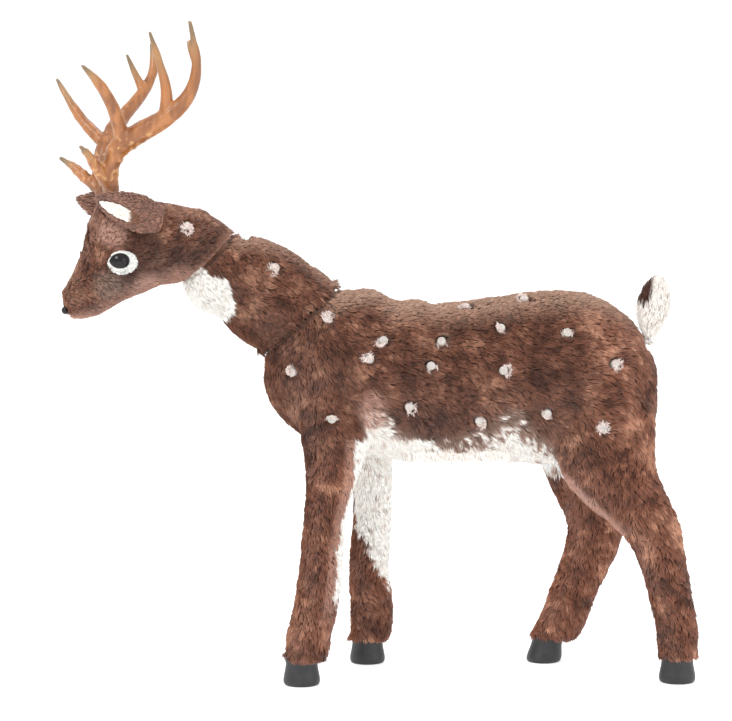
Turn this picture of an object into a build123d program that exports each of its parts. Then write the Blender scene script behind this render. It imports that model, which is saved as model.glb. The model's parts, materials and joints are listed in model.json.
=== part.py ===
from build123d import *
import math
import os

# Light up yard reindeer: a spotted buck in faux fur over a welded steel frame.
# Millimetres. +Z is up, the nose points to -X and the deer's left side faces -Y.
# Stance frame: X = 0 is a little behind the shoulders, Y = 0 is the body's middle plane,
# Z = 0 is the ground. The last step moves everything so that the origin is the middle of
# the footprint of the whole deer.

# ---- driving dimensions -------------------------------------------------------------
ORIGIN_X = -1.0           # stance frame point that becomes the part's origin
ORIGIN_Y = -28.0
COVER_WALL = 8.0          # fur fabric with its padding
TUBE_R = 7.0              # leg and neck tube outside
TUBE_WALL = 1.5
SPINE_R = 10.0
SPINE_Z = 440.0
SLIP = 0.15               # radial slip between a tube and the hole it passes through
CROSSBAR = 24.0           # square steel bar outside
SHOULDER_BAR_X = (-40.0, -16.0)
HIP_BAR_X = (294.0, 318.0)
BAR_HALF = {"front": 58.5, "rear": 60.0}
SCREW_R = 2.5             # set screws that hold the leg tubes in the bars
SCREW_HEAD_R = 5.0
SCREW_HEAD_H = 4.0

# torso: (top x, top z, bottom x, bottom z, half width) of each cross-section; every oval
# here and below is longer along its first radius, so that lofts of them don't twist
TORSO = [
    (-59.0, 549.0, -160.0, 460.0, 54.0),
    (-56.0, 545.0, -157.0, 456.0, 55.0),
    (-26.0, 544.0, -156.0, 420.0, 69.0),
    (2.0, 539.0, -137.0, 372.0, 77.0),
    (34.0, 528.0, -80.0, 330.0, 80.0),
    (66.0, 526.0, 30.0, 306.0, 79.0),
    (112.0, 526.0, 106.0, 299.0, 79.0),
    (172.0, 533.0, 173.0, 304.0, 80.0),
    (240.0, 541.0, 236.0, 300.0, 81.0),
    (300.0, 535.0, 300.0, 306.0, 77.0),
    (345.0, 511.0, 345.0, 318.0, 67.0),
    (375.0, 474.0, 376.0, 334.0, 51.0),
    (391.0, 440.0, 391.0, 368.0, 29.0),
]
NECK_AXIS = (-0.664, 0.0, 0.747)      # swivel axis of the neck, out of the shoulders
NECK_SEAT = (-106.0, 0.0, 503.0)      # where that axis crosses the seam
SEAM_GAP = 1.0
SOCKET_SPAN = (-66.0, -20.0)          # neck socket, along the swivel axis from the seam
NECK_FOOT = -67.0
NECK = [
    (-53.0, 545.0, -158.0, 454.0, 58.5),
    (-56.0, 549.0, -161.0, 458.0, 58.0),
    (-82.0, 570.0, -180.0, 471.0, 57.0),
    (-114.0, 593.0, -211.0, 498.0, 55.0),
    (-148.0, 610.0, -238.0, 527.0, 53.0),
    (-184.0, 619.0, -262.0, 548.0, 50.0),
]

# head: the yoke pin is a vertical axis inside a ball-shaped end of the neck
HEAD_X = -214.0
HEAD_Z = 566.0
HEAD_YAW = 16.0           # the head looks a little to the deer's left
DOME_R = 56.5
CUP_R = 57.5
RIM_NORMAL = (-0.673, 0.0, 0.738)
RIM_OFFSET = 36.0         # rim of the head cover, along RIM_NORMAL from the ball's centre
NECK_STEP_OFFSET = 13.0   # where the neck cover steps down to the ball
DOME_MOUTH_OFFSET = 40.0
DOME_FOOT_OFFSET = -35.0
# (top forward, top z, bottom forward, bottom z, half width), forward from the yoke pin
HEAD = [
    (-16.0, 625.0, 64.0, 556.0, 49.0),
    (30.0, 656.0, 90.0, 553.0, 55.0),
    (110.0, 669.0, 135.0, 535.0, 57.0),
    (146.0, 673.0, 150.0, 528.0, 54.0),
    (174.0, 664.0, 165.0, 519.0, 49.5),
    (188.0, 636.0, 176.0, 513.0, 43.0),
    (197.0, 598.0, 187.0, 509.0, 35.0),
    (209.0, 570.0, 202.0, 508.0, 29.0),
    (224.0, 547.0, 219.0, 512.0, 16.5),
]
EYE_AT = (156.0, 587.0)   # forward, z
EYE_R = 15.0
EYE_SINK = 6.0            # centre of the eye's sphere below the hood's skin
RING_R = 19.0
RING_T = 1.2
NOSE_AT = (221.0, 519.5)
NOSE_R = 5.5
EAR_ROOT = (99.0, 50.0, 641.0)        # forward, side, z
EAR_TIP = (190.0, 72.0, 672.0)

# antler: stations of (forward, side, z, radius), peg first
ANTLER_PEG_R = 5.0
ANTLER_BASE = (162.0, 29.0)           # forward, side of the peg's axis
SOCKET_Z = (628.0, 668.0)
PEG_BOTTOM_Z = 632.0
# antlers: (forward, side, z, radius) along the beam and each tine; 1 is the left antler, -1 the right
ANTLERS = {
    1: {
        "beam": [(162.0, 29.0, 670.5, 11.0), (164.0, 32.0, 696.0, 11.2), (164.0, 35.0, 714.0, 11.9),
                 (156.0, 42.0, 737.0, 13.5), (143.0, 52.0, 750.0, 14.5), (128.0, 63.0, 760.0, 14.3),
                 (98.0, 84.0, 779.0, 12.2), (79.0, 96.0, 796.0, 10.6), (66.0, 104.0, 818.0, 8.6),
                 (62.0, 110.0, 846.0, 7.0), (65.0, 113.0, 872.0, 5.2), (72.0, 116.0, 904.0, 2.2)],
        "brow": [(166.0, 34.0, 688.0, 9.0), (182.0, 42.0, 710.0, 7.8), (196.0, 50.0, 729.0, 5.4),
                 (209.0, 55.0, 741.0, 2.0)],
        "bez": [(150.0, 50.0, 746.0, 10.5), (157.0, 59.0, 771.0, 9.6), (171.0, 70.0, 801.0, 8.2),
                (188.0, 80.0, 824.0, 6.4), (211.0, 92.0, 845.0, 2.0)],
        "trez": [(100.0, 84.0, 778.0, 9.0), (98.0, 87.0, 796.0, 8.6), (99.0, 90.0, 816.0, 7.4),
                 (105.0, 92.0, 842.0, 5.8), (114.0, 93.0, 869.0, 4.2), (121.0, 93.0, 891.0, 2.0)],
        "crown": [(63.0, 111.0, 850.0, 5.5), (69.0, 110.0, 867.0, 4.4), (73.0, 109.0, 879.0, 2.0)],
    },
    -1: {
        "beam": [(162.0, 29.0, 670.5, 11.0), (164.0, 32.0, 696.0, 11.2), (164.0, 35.0, 714.0, 11.9),
                 (158.0, 42.0, 736.0, 13.0), (150.0, 51.0, 752.0, 12.2), (139.0, 61.0, 770.0, 11.2),
                 (123.0, 70.0, 788.0, 10.2), (103.0, 80.0, 809.0, 8.8), (86.0, 88.0, 832.0, 7.6),
                 (76.0, 94.0, 854.0, 6.6), (76.0, 98.0, 875.0, 4.8), (78.0, 101.0, 891.0, 2.2)],
        "brow": [(166.0, 33.0, 684.0, 9.0), (184.0, 41.0, 700.0, 7.8), (201.0, 49.0, 716.0, 5.4),
                 (218.0, 55.0, 728.0, 2.0)],
        "bez": [(152.0, 48.0, 744.0, 10.5), (166.0, 59.0, 760.0, 9.2), (182.0, 70.0, 780.0, 7.6),
                (199.0, 80.0, 808.0, 5.8), (214.0, 92.0, 838.0, 2.0)],
        "trez": [(93.0, 85.0, 820.0, 6.8), (97.0, 87.0, 833.0, 6.2), (105.0, 90.0, 850.0, 5.0),
                 (115.0, 92.0, 874.0, 2.0)],
    },
}
HORN_SIDES = 12

# legs: (z, x centre, half length, side centre, half width), top first
LEGS = {
    "front_left": (-1, [
        (430.0, -62.0, 40.0, 46.0, 26.0), (360.0, -60.0, 47.0, 50.0, 31.0),
        (320.0, -59.0, 42.0, 54.0, 32.0), (270.0, -67.0, 31.0, 60.0, 29.0),
        (200.0, -77.0, 27.5, 63.0, 27.0), (145.0, -81.0, 29.0, 64.0, 27.5),
        (90.0, -91.0, 29.5, 65.0, 27.0), (55.0, -98.0, 28.5, 66.0, 26.0),
        (32.0, -101.0, 26.5, 66.0, 24.5)]),
    "front_right": (1, [
        (430.0, -30.0, 40.0, 46.0, 26.0), (360.0, -24.0, 44.0, 50.0, 31.0),
        (320.0, -12.0, 36.0, 54.0, 32.0), (270.0, -4.0, 28.0, 60.0, 27.0),
        (200.0, -4.0, 26.0, 64.0, 25.0), (145.0, -7.0, 27.5, 65.0, 27.0),
        (90.0, -4.0, 29.0, 66.0, 27.0), (55.0, -4.0, 29.0, 67.0, 26.5),
        (32.0, -7.0, 26.5, 67.0, 24.5)]),
    "rear_left": (-1, [
        (440.0, 316.0, 50.0, 42.0, 30.0), (380.0, 314.0, 68.0, 46.0, 36.0),
        (330.0, 314.0, 69.0, 52.0, 35.0), (285.0, 325.0, 65.0, 58.0, 32.0),
        (245.0, 352.0, 56.0, 62.0, 29.0), (205.0, 382.0, 39.0, 64.0, 28.0),
        (160.0, 397.0, 31.0, 66.0, 27.0), (110.0, 409.0, 29.0, 67.0, 26.5),
        (60.0, 417.0, 27.0, 68.0, 26.0), (32.0, 417.0, 25.0, 68.0, 24.5)]),
    "rear_right": (1, [
        (440.0, 306.0, 50.0, 42.0, 30.0), (380.0, 304.0, 66.0, 46.0, 36.0),
        (330.0, 300.0, 68.0, 52.0, 35.0), (285.0, 306.0, 62.0, 58.0, 32.0),
        (245.0, 314.0, 52.0, 61.0, 29.0), (205.0, 321.0, 42.0, 62.0, 28.0),
        (160.0, 313.0, 37.0, 63.0, 27.0), (110.0, 292.0, 34.0, 64.0, 26.5),
        (60.0, 273.0, 34.0, 65.0, 26.0), (32.0, 260.0, 30.5, 65.0, 24.5)]),
}
LEG_SEAM_Z = 322.0
# hoof: (x centre, side, toe lean), and the route of the tube inside each leg
HOOVES = {
    "front_left": (-106.0, 66.0, 0.0),
    "front_right": (-10.0, 67.0, 0.0),
    "rear_left": (417.0, 68.0, 0.0),
    "rear_right": (246.0, 65.0, 8.0),
}
TUBE_ROUTES = {
    "front_left": [(-28.0, 49.0, 452.0), (-76.0, 62.0, 230.0), (-105.0, 66.0, 26.0)],
    "front_right": [(-28.0, 49.0, 452.0), (-5.0, 63.0, 230.0), (-10.0, 67.0, 26.0)],
    "rear_left": [(306.0, 48.0, 452.0), (384.0, 63.0, 208.0), (417.0, 68.0, 26.0)],
    "rear_right": [(306.0, 48.0, 452.0), (321.0, 61.0, 208.0), (251.0, 65.0, 26.0)],
}
TUBE_BEND_R = 60.0
HOOF_SOLE = (25.0, 21.0)
HOOF_HEIGHT = 44.0
HOOF_RINGS = [(0.0, -2.5), (3.0, 0.0), (15.0, -0.5), (32.0, -3.0), (HOOF_HEIGHT, -7.0)]
STAKE_R = 3.5
STAKE_DEPTH = 18.0

# lamps: (x, z) on each flank, spine lamps as (x, side)
FLANK_LAMPS = [
    (-70.0, 509.0), (-118.0, 434.0), (-64.0, 371.0), (7.0, 478.0), (-12.0, 453.0),
    (87.0, 476.0), (72.0, 443.0), (169.0, 494.0), (171.0, 437.0), (42.0, 387.0),
    (139.0, 367.0), (260.0, 488.0), (326.0, 445.0), (232.0, 377.0), (308.0, 358.0),
]
SPINE_LAMPS = [(123.0, 24.0), (205.0, 24.0)]
NECK_LAMP = (-141.0, 577.0)
HEAD_LAMP = (61.0, 634.0)
CAP_R = 6.0
CAP_PROUD = 3.0
CAP_LENGTH = 14.0
BULB_R = 2.5
BULB_LENGTH = 9.0

# battery compartment in the belly
BOX_X = (62.0, 154.0)
BOX_HALF_W = 34.0
BOX_Z = (311.0, 352.0)
BOX_WALL = 2.5
DOOR_T = 2.6
HINGE_X = 57.0
HINGE_Z = 312.5
PIN_R = 1.2
EAR_OFFSET = 28.0                      # middle of each ear of the hinge, and half its width
EAR_HALF = 2.0
CELL_R = 7.1
CELL_LENGTH = 50.0
SWITCH_X = 167.0
SWITCH_TRAVEL = 4.0
WIRE_R = 2.5

# tail
TAIL_ROOT = (384.0, 474.0)
TAIL_ROOT_R = 9.0
TAIL = [(0.0, 9.5, 9.0), (18.0, 14.0, 11.0), (42.0, 21.0, 16.0), (66.0, 18.0, 14.0), (86.0, 8.0, 7.0)]
TAIL_LEAN = 4.0


# ---- helpers ------------------------------------------------------------------------
def ellipse_across(top_x, top_z, bottom_x, bottom_z, half_width, shrink=0.0):
    """Ellipse whose long axis joins the top point to the bottom point of the middle plane."""
    dx = top_x - bottom_x
    dz = top_z - bottom_z
    length = math.hypot(dx, dz)
    centre = ((top_x + bottom_x) / 2, 0, (top_z + bottom_z) / 2)
    plane = Plane(origin=centre, x_dir=(0, 1, 0), z_dir=(dz / length, 0, -dx / length))
    return plane * Ellipse(half_width - shrink, length / 2 - shrink)


def profile_loft(sections, shrink=0.0, ruled=False):
    return loft([ellipse_across(*row, shrink=shrink) for row in sections], ruled=ruled)


def half_space(point, normal, size=900.0):
    """Block that fills the side of the plane that the normal points to."""
    plane = Plane(origin=point, z_dir=normal)
    return plane * Box(size, size, size, align=(Align.CENTER, Align.CENTER, Align.MIN))


def along(point, direction, distance):
    return tuple(p + d * distance for p, d in zip(point, direction))


def rod(start, end, radius):
    line = Vector(*end) - Vector(*start)
    plane = Plane(origin=start, z_dir=line)
    return plane * Cylinder(radius, line.length, align=(Align.CENTER, Align.CENTER, Align.MIN))


def block(low, high):
    size = [h - l for l, h in zip(low, high)]
    return Pos(*low) * Box(*size, align=(Align.MIN, Align.MIN, Align.MIN))


def head_point(forward, side, z):
    """Point of the head given before the head is turned; side is + on the deer's left."""
    return (HEAD_X - forward, -side, z)


def turn_head(shape):
    return Pos(HEAD_X, 0, 0) * Rotation(0, 0, HEAD_YAW) * Pos(-HEAD_X, 0, 0) * shape


def swept_tube(points, radius):
    path = FilletPolyline(*points, radius=TUBE_BEND_R)
    start = Plane(origin=path @ 0, z_dir=path % 0)
    return sweep(start * Circle(radius), path=path)


def surface_hit(solid, point, direction):
    """First point of the solid's skin, with its outward normal, seen from far out."""
    far = along(point, direction, -400.0)
    hits = solid.find_intersection_points(Axis(far, direction))
    first = min(hits, key=lambda hit: (hit[0] - Vector(*far)).length)
    return first


def save(name, *shapes):
    """Write one node: a single solid, or a group of separate solids."""
    moved = [Pos(-ORIGIN_X, -ORIGIN_Y, 0) * shape for shape in shapes]
    node = moved[0] if len(moved) == 1 else Compound(children=moved)
    node.label = name
    export_step(node, f"parts/{name}.step")


# ---- legs ---------------------------------------------------------------------------
def leg_loft(name):
    side, rows = LEGS[name]
    rings = []
    for z, x, half_length, y, half_width in rows:
        rings.append(Pos(x, side * y, z) * Ellipse(half_length, half_width))
    return loft(rings)


def leg_tube(name, radius=TUBE_R):
    side = LEGS[name][0]
    return swept_tube([(x, side * y, z) for x, y, z in TUBE_ROUTES[name]], radius)


def hollow_leg_tube(name):
    return leg_tube(name) - leg_tube(name, TUBE_R - TUBE_WALL)


def hoof(name):
    side = LEGS[name][0]
    x, y, lean = HOOVES[name]
    rx, ry = HOOF_SOLE
    rings = []
    for z, swell in HOOF_RINGS:
        shift = lean * z / HOOF_HEIGHT
        rings.append(Pos(x + shift, side * y, z) * Ellipse(rx + swell, ry + swell))
    body = loft(rings)
    body -= leg_tube(name, TUBE_R + SLIP)
    stake = Pos(x, side * y, 0) * Cylinder(STAKE_R, STAKE_DEPTH, align=(Align.CENTER, Align.CENTER, Align.MIN))
    return body - stake


def leg_cover(name, torso_skin, hoof_body):
    below = half_space((0, 0, LEG_SEAM_Z), (0, 0, -1))
    cover = leg_loft(name) & below
    cover -= torso_skin
    cover -= leg_tube(name, TUBE_R + SLIP)
    return cover - hoof_body


# ---- torso --------------------------------------------------------------------------
def neck_seat_cut(offset, side):
    """Everything beyond a plane across the swivel axis; side 1 is the neck's side."""
    normal = tuple(side * n for n in NECK_AXIS)
    return half_space(along(NECK_SEAT, NECK_AXIS, offset), normal)


def torso_skin():
    """Outer shape of the torso with shoulders and haunches down to the leg seams."""
    skin = profile_loft(TORSO)
    above = half_space((0, 0, LEG_SEAM_Z), (0, 0, 1))
    for name in LEGS:
        skin += leg_loft(name) & above
    return skin - neck_seat_cut(0.0, 1)


def belly_window():
    low = (HINGE_X - 6.0, -BOX_HALF_W - 2.0, 250.0)
    high = (SWITCH_X + 13.0, BOX_HALF_W + 2.0, BOX_Z[1] + 20.0)
    return block(low, high)


def torso_cover(skin, lamp_holes):
    cover = skin - profile_loft(TORSO[:-1], COVER_WALL)
    for name in LEGS:
        cover -= leg_tube(name, TUBE_R + SLIP)
    cover -= belly_window()
    cover -= tail_pocket()
    return cover - lamp_holes


def spine_tube():
    start = (-30.0, 0.0, SPINE_Z)
    end = (352.0, 0.0, SPINE_Z)
    return rod(start, end, SPINE_R) - rod(along(start, (1, 0, 0), -1), along(end, (1, 0, 0), 1), SPINE_R - TUBE_WALL)


def crossbar(x, half_length, leg_names):
    """Square steel bar across the spine; the leg tubes pass up through its ends."""
    z0 = SPINE_Z - CROSSBAR / 2
    bar = block((x[0], -half_length, z0), (x[1], half_length, z0 + CROSSBAR))
    bar -= rod((x[0] - 1, 0, SPINE_Z), (x[1] + 1, 0, SPINE_Z), SPINE_R + SLIP)
    for name in leg_names:
        bar -= leg_tube(name, TUBE_R + SLIP)
        bar -= leg_screw(name, SCREW_R + SLIP)
    return bar


def leg_top(name):
    side = LEGS[name][0]
    x, y, z = TUBE_ROUTES[name][0]
    return (x, side * y, SPINE_Z)


def leg_screw(name, radius=SCREW_R):
    """Set screw driven from outside along Y into the bar, up to the leg tube."""
    side = LEGS[name][0]
    x, y, z = leg_top(name)
    bar_end = side * BAR_HALF[name.split("_")[0]]
    tip = y + side * (TUBE_R + 1.2)
    head_start = (x, bar_end, z)
    shank = rod((x, tip, z), head_start, radius)
    head = rod(head_start, (x, bar_end + side * SCREW_HEAD_H, z), SCREW_HEAD_R)
    return shank + head


def neck_line(start, end, radius):
    """Rod along the swivel axis, between two distances from the seam."""
    return rod(along(NECK_SEAT, NECK_AXIS, start), along(NECK_SEAT, NECK_AXIS, end), radius)


def neck_socket():
    """Steel tube that the neck tube turns in, on an arm welded to the shoulder bar."""
    low, high = SOCKET_SPAN
    behind = (NECK_AXIS[2], 0.0, -NECK_AXIS[0])
    arm_start = along(along(NECK_SEAT, NECK_AXIS, -45.0), behind, 12.0)
    bar_top = SPINE_Z + CROSSBAR / 2
    arm = rod(arm_start, (-28.0, 0.0, bar_top - 3.0), 5.0)
    arm -= block((SHOULDER_BAR_X[0], -20.0, bar_top - 30.0), (SHOULDER_BAR_X[1], 20.0, bar_top))
    arm -= neck_line(low - 30.0, high, TUBE_R + 5.9)
    return (neck_line(low, high, TUBE_R + 6.0) + arm) - neck_line(low - 1.0, high + 1.0, TUBE_R + 3.0)


def neck_bushing():
    low, high = SOCKET_SPAN
    sleeve = neck_line(low, high, TUBE_R + 3.0) + neck_line(high, high + 3.0, TUBE_R + 6.0)
    return sleeve - neck_line(low - 1.0, high + 5.0, TUBE_R + 0.08)


# ---- neck ---------------------------------------------------------------------------
def neck_tube():
    """Bent tube from the shoulder socket to the vertical yoke pin in the ball."""
    foot = along(NECK_SEAT, NECK_AXIS, NECK_FOOT)
    bend = along(NECK_SEAT, NECK_AXIS, 62.0)
    pin_foot = (HEAD_X, 0.0, 536.0)
    path = FilletPolyline(foot, bend, pin_foot, radius=28.0)
    tube = sweep(Plane(origin=path @ 0, z_dir=path % 0) * Circle(TUBE_R), path=path)
    boss = rod((HEAD_X, 0, 522.0), (HEAD_X, 0, 548.0), 9.0)
    pin = rod((HEAD_X, 0, 548.0), (HEAD_X, 0, 592.0), 5.0)
    return tube + boss + pin - neck_line(NECK_FOOT - 1.0, NECK_FOOT + 14.0, 2.1)


def neck_keeper():
    """Washer and screw under the socket that stop the neck tube from lifting out."""
    washer = neck_line(NECK_FOOT - 2.0, NECK_FOOT, TUBE_R + 5.0)
    head = neck_line(NECK_FOOT - 6.0, NECK_FOOT - 2.0, 4.0)
    shank = neck_line(NECK_FOOT - 2.0, NECK_FOOT + 10.0, 2.0)
    return washer + head + shank


def head_cap_nut():
    return rod((HEAD_X, 0, 592.0), (HEAD_X, 0, 597.0), 8.0)


def ball(radius):
    return Pos(HEAD_X, 0, HEAD_Z) * Sphere(radius)


def ball_plane(offset, side):
    """Half space across the ball; side 1 is the head's side of the plane."""
    centre = (HEAD_X, 0.0, HEAD_Z)
    return half_space(along(centre, RIM_NORMAL, offset), tuple(side * n for n in RIM_NORMAL))


def neck_cover(lamp_holes):
    """Padded fur sleeve: open at the shoulders, ball-shaped under the head cover."""
    rows = NECK
    sleeve = profile_loft(rows) - neck_seat_cut(SEAM_GAP, -1)
    sleeve -= ball_plane(NECK_STEP_OFFSET, 1)
    dome = ball(DOME_R) & ball_plane(DOME_FOOT_OFFSET, 1)
    dome -= ball_plane(DOME_MOUTH_OFFSET, 1)
    cover = sleeve + dome
    inner = profile_loft(rows, COVER_WALL) + ball(DOME_R - COVER_WALL + 1.5)
    return cover - inner - lamp_holes


# ---- head ---------------------------------------------------------------------------
def head_profile(shrink=0.0):
    rows = []
    for tf, tz, bf, bz, half_width in HEAD:
        rows.append((HEAD_X - tf, tz, HEAD_X - bf, bz, half_width))
    return profile_loft(rows, shrink, ruled=True)


def head_cover(holes):
    """Padded fur hood: its rear rim is a cup that turns around the neck's ball."""
    cover = head_profile() - head_cavity()
    cover -= ball(CUP_R)
    cover -= ball_plane(RIM_OFFSET, -1)
    return cover - holes


def head_cavity():
    """Room inside the hood for the frame, sockets and eye washers."""
    rows = []
    for tf, tz, bf, bz, half_width in HEAD[1:7]:
        rows.append((HEAD_X - tf, tz, HEAD_X - bf, bz, half_width))
    return profile_loft(rows, COVER_WALL, ruled=True)


def head_frame():
    """Sleeve that turns on the yoke pin, with an arm to the antler plate."""
    sleeve = rod((HEAD_X, 0, 549.0), (HEAD_X, 0, 591.5), 9.0)
    frame = sleeve + head_arm(4.5) + antler_plate()
    return frame - rod((HEAD_X, 0, 540.0), (HEAD_X, 0, 600.0), 5.06)


def head_arm(radius):
    return rod((HEAD_X - 4.0, 0, 580.0), head_point(ANTLER_BASE[0] - 8.0, 0, SOCKET_Z[0] - 3.0), radius)


def antler_plate(room=0.0):
    """Flat bar across the brow under both sockets; room enlarges it on every side."""
    forward, side = ANTLER_BASE
    low = head_point(forward + 8.0 + room, side + 9.0 + room, SOCKET_Z[0] - 4.0 - room)
    high = head_point(forward - 8.0 - room, -side - 9.0 - room, SOCKET_Z[0] + room)
    return block(low, high)


def antler_socket(side):
    """Cup welded on the antler plate; the antler's peg drops into it."""
    forward, y = ANTLER_BASE
    low = head_point(forward, side * y, SOCKET_Z[0])
    high = head_point(forward, side * y, SOCKET_Z[1])
    bore = rod(head_point(forward, side * y, PEG_BOTTOM_Z - 0.5), along(high, (0, 0, 1), 1.0), ANTLER_PEG_R + SLIP)
    return rod(low, high, ANTLER_PEG_R + 2.5) - bore


def between(stations, steps=3):
    """Stations with more in between, on a smooth curve through them all."""
    finer = []
    last = len(stations) - 1
    for index in range(last):
        a, b, c, d = (stations[min(max(index + k, 0), last)] for k in (-1, 0, 1, 2))
        for step in range(steps):
            t = step / steps
            finer.append(tuple(
                0.5 * (2 * q + (r - p) * t + (2 * p - 5 * q + 4 * r - s) * t ** 2 + (3 * q - p - 3 * r + s) * t ** 3)
                for p, q, r, s in zip(a, b, c, d)))
    return finer + [stations[last]]


def tapered_horn(stations, side):
    rings = []
    stations = between(stations)
    points = [Vector(*head_point(f, side * s, z)) for f, s, z, r in stations]
    for index, station in enumerate(stations):
        before = points[max(index - 1, 0)]
        after = points[min(index + 1, len(points) - 1)]
        plane = Plane(origin=points[index], z_dir=after - before, x_dir=(0, 1, 0))
        rings.append(plane * RegularPolygon(station[3], HORN_SIDES))
    return loft(rings, ruled=True)


def antler(side):
    """Solid moulded antler: main beam, its tines and the peg that plugs into the head."""
    horns = [tapered_horn(stations, side) for stations in ANTLERS[side].values()]
    body = horns[0].fuse(*horns[1:])
    forward, y = ANTLER_BASE
    foot = head_point(forward, side * y, PEG_BOTTOM_Z)
    return body + rod(foot, head_point(forward, side * y, SOCKET_Z[1] + 6.0), ANTLER_PEG_R)


def ear_loft(side):
    root = Vector(*head_point(EAR_ROOT[0], side * EAR_ROOT[1], EAR_ROOT[2]))
    tip = Vector(*head_point(EAR_TIP[0], side * EAR_TIP[1], EAR_TIP[2]))
    line = tip - root
    rows = [(0.0, 17.0, 8.0), (0.12, 22.0, 9.0), (0.4, 25.0, 9.0), (0.7, 19.0, 7.0), (0.92, 10.0, 4.5), (1.0, 3.0, 2.0)]
    rings = []
    for part, tall, thick in rows:
        plane = Plane(origin=root + line * part, z_dir=line, x_dir=(0, 1, 0))
        rings.append(plane * Ellipse(thick, tall))
    return loft(rings)


def ear_lining(side):
    """Pale inner ear: a thin leaf let into the outward face of the ear."""
    ear = ear_loft(side)
    root = Vector(*head_point(EAR_ROOT[0] + 30.0, side * (EAR_ROOT[1] + 22.0), EAR_ROOT[2] - 2.0))
    tip = Vector(*head_point(EAR_TIP[0] - 6.0, side * (EAR_TIP[1] + 9.0), EAR_TIP[2] - 6.0))
    line = tip - root
    rows = [(0.0, 5.0), (0.35, 10.0), (0.75, 8.0), (1.0, 2.0)]
    rings = []
    for part, tall in rows:
        plane = Plane(origin=root + line * part, z_dir=line, x_dir=(0, 1, 0))
        rings.append(plane * Ellipse(13.0, tall))
    return loft(rings) & ear


def eye_frame(side):
    """Surface point of the head at the eye, and its outward normal."""
    target = head_point(EYE_AT[0], 0.0, EYE_AT[1])
    return surface_hit(head_profile(), target, (0, side, 0))


def eye(side):
    """Safety eye: a glossy dome with a stem that goes through the hood."""
    point, normal = eye_frame(side)
    point = tuple(point)
    normal = tuple(normal)
    centre = along(point, normal, -EYE_SINK)
    dome = Pos(*centre) * Sphere(EYE_R)
    dome &= half_space(along(point, normal, -1.0), normal)
    stem = rod(along(point, normal, -14.0), along(point, normal, 0.0), 2.5)
    return dome + stem


def eye_ring(side):
    point, normal = eye_frame(side)
    point = tuple(point)
    normal = tuple(normal)
    disc = rod(along(point, normal, -1.0), along(point, normal, RING_T), RING_R)
    return disc - eye(side)


def eye_washer(side):
    point, normal = eye_frame(side)
    point = tuple(point)
    normal = tuple(normal)
    washer = rod(along(point, normal, -13.0), along(point, normal, -11.0), 8.0)
    return washer - rod(along(point, normal, -20.0), point, 2.55)


def nose():
    centre = head_point(NOSE_AT[0], 0.0, NOSE_AT[1])
    return Pos(*centre) * Sphere(NOSE_R)


def nose_hole():
    start = head_point(NOSE_AT[0] - 8.0, 0.0, NOSE_AT[1])
    return rod(start, head_point(NOSE_AT[0] + 12.0, 0.0, NOSE_AT[1]), NOSE_R + SLIP)


# ---- lamps --------------------------------------------------------------------------
def lamp_frames(solid, places, vertical=False):
    """Skin points and normals of lamps on both flanks, or along the spine."""
    frames = []
    for a, b in places:
        for side in (-1, 1):
            if vertical:
                frames.append(surface_hit(solid, (a, side * b, SPINE_Z), (0, 0, -1)))
            else:
                frames.append(surface_hit(solid, (a, 0.0, b), (0, -side, 0)))
    return [(tuple(point), tuple(normal)) for point, normal in frames]


def lamp_parts(frames):
    """Caps, bulbs and the holes in the cover for lamps at the given places."""
    caps, bulbs, holes = [], [], []
    for point, normal in frames:
        outer = along(point, normal, CAP_PROUD)
        inner = along(outer, normal, -CAP_LENGTH)
        bulb_foot = along(inner, normal, -3.0)
        bulb_tip = along(bulb_foot, normal, BULB_LENGTH)
        cap = rod(inner, outer, CAP_R)
        cap = fillet(cap.edges().sort_by_distance(outer)[0], 2.5)
        cap -= rod(bulb_foot, along(bulb_tip, normal, 0.4), BULB_R + 0.2)
        caps.append(cap)
        bulbs.append(rod(bulb_foot, bulb_tip, BULB_R))
        holes.append(rod(along(inner, normal, -6.0), along(outer, normal, 6.0), CAP_R + SLIP))
    return caps, bulbs, holes


# ---- battery compartment ------------------------------------------------------------
def battery_box():
    low = (BOX_X[0], -BOX_HALF_W, BOX_Z[0] + DOOR_T + 0.4)
    high = (BOX_X[1], BOX_HALF_W, BOX_Z[1])
    inner_low = (low[0] + BOX_WALL, low[1] + BOX_WALL, low[2] - 1.0)
    inner_high = (high[0] - BOX_WALL, high[1] - BOX_WALL, high[2] - BOX_WALL)
    box = block(low, high) - block(inner_low, inner_high)
    boss = Pos(BOX_X[1] - 8.0, 0, (low[2] + high[2]) / 2) * Box(9.0, 12.0, high[2] - low[2] - BOX_WALL)
    box += Pos(0, 0, -BOX_WALL / 2 + 0.01) * boss
    box -= rod((BOX_X[1] - 8.0, 0, 250.0), (BOX_X[1] - 8.0, 0, low[2] + 12.0), 2.1)
    for side in (-1, 1):
        ear_low = (HINGE_X - 3.0, side * EAR_OFFSET - EAR_HALF, HINGE_Z - 3.0)
        ear_high = (BOX_X[0] + 0.01, side * EAR_OFFSET + EAR_HALF, BOX_Z[1] - 20.0)
        box += block(ear_low, ear_high)
    box -= rod((HINGE_X, -50.0, HINGE_Z), (HINGE_X, 50.0, HINGE_Z), PIN_R)
    for side in (-1, 1):
        tab = block((95.0, side * (BOX_HALF_W + 4.0) - 4.0, BOX_Z[1] - 3.0),
                    (115.0, side * (BOX_HALF_W + 4.0) + 4.0, BOX_Z[1]))
        box += tab
    return box


def box_hanger(side):
    """Steel strap from the spine tube down to the battery box's side tab."""
    y = side * (BOX_HALF_W + 4.0)
    strap = block((99.0, y - 2.0, BOX_Z[1]), (111.0, y + 2.0, SPINE_Z))
    bridge = block((99.0, min(0.0, y), SPINE_Z - 2.0), (111.0, max(0.0, y), SPINE_Z + 2.0))
    return strap + bridge - rod((80.0, 0, SPINE_Z), (130.0, 0, SPINE_Z), SPINE_R)


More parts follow.
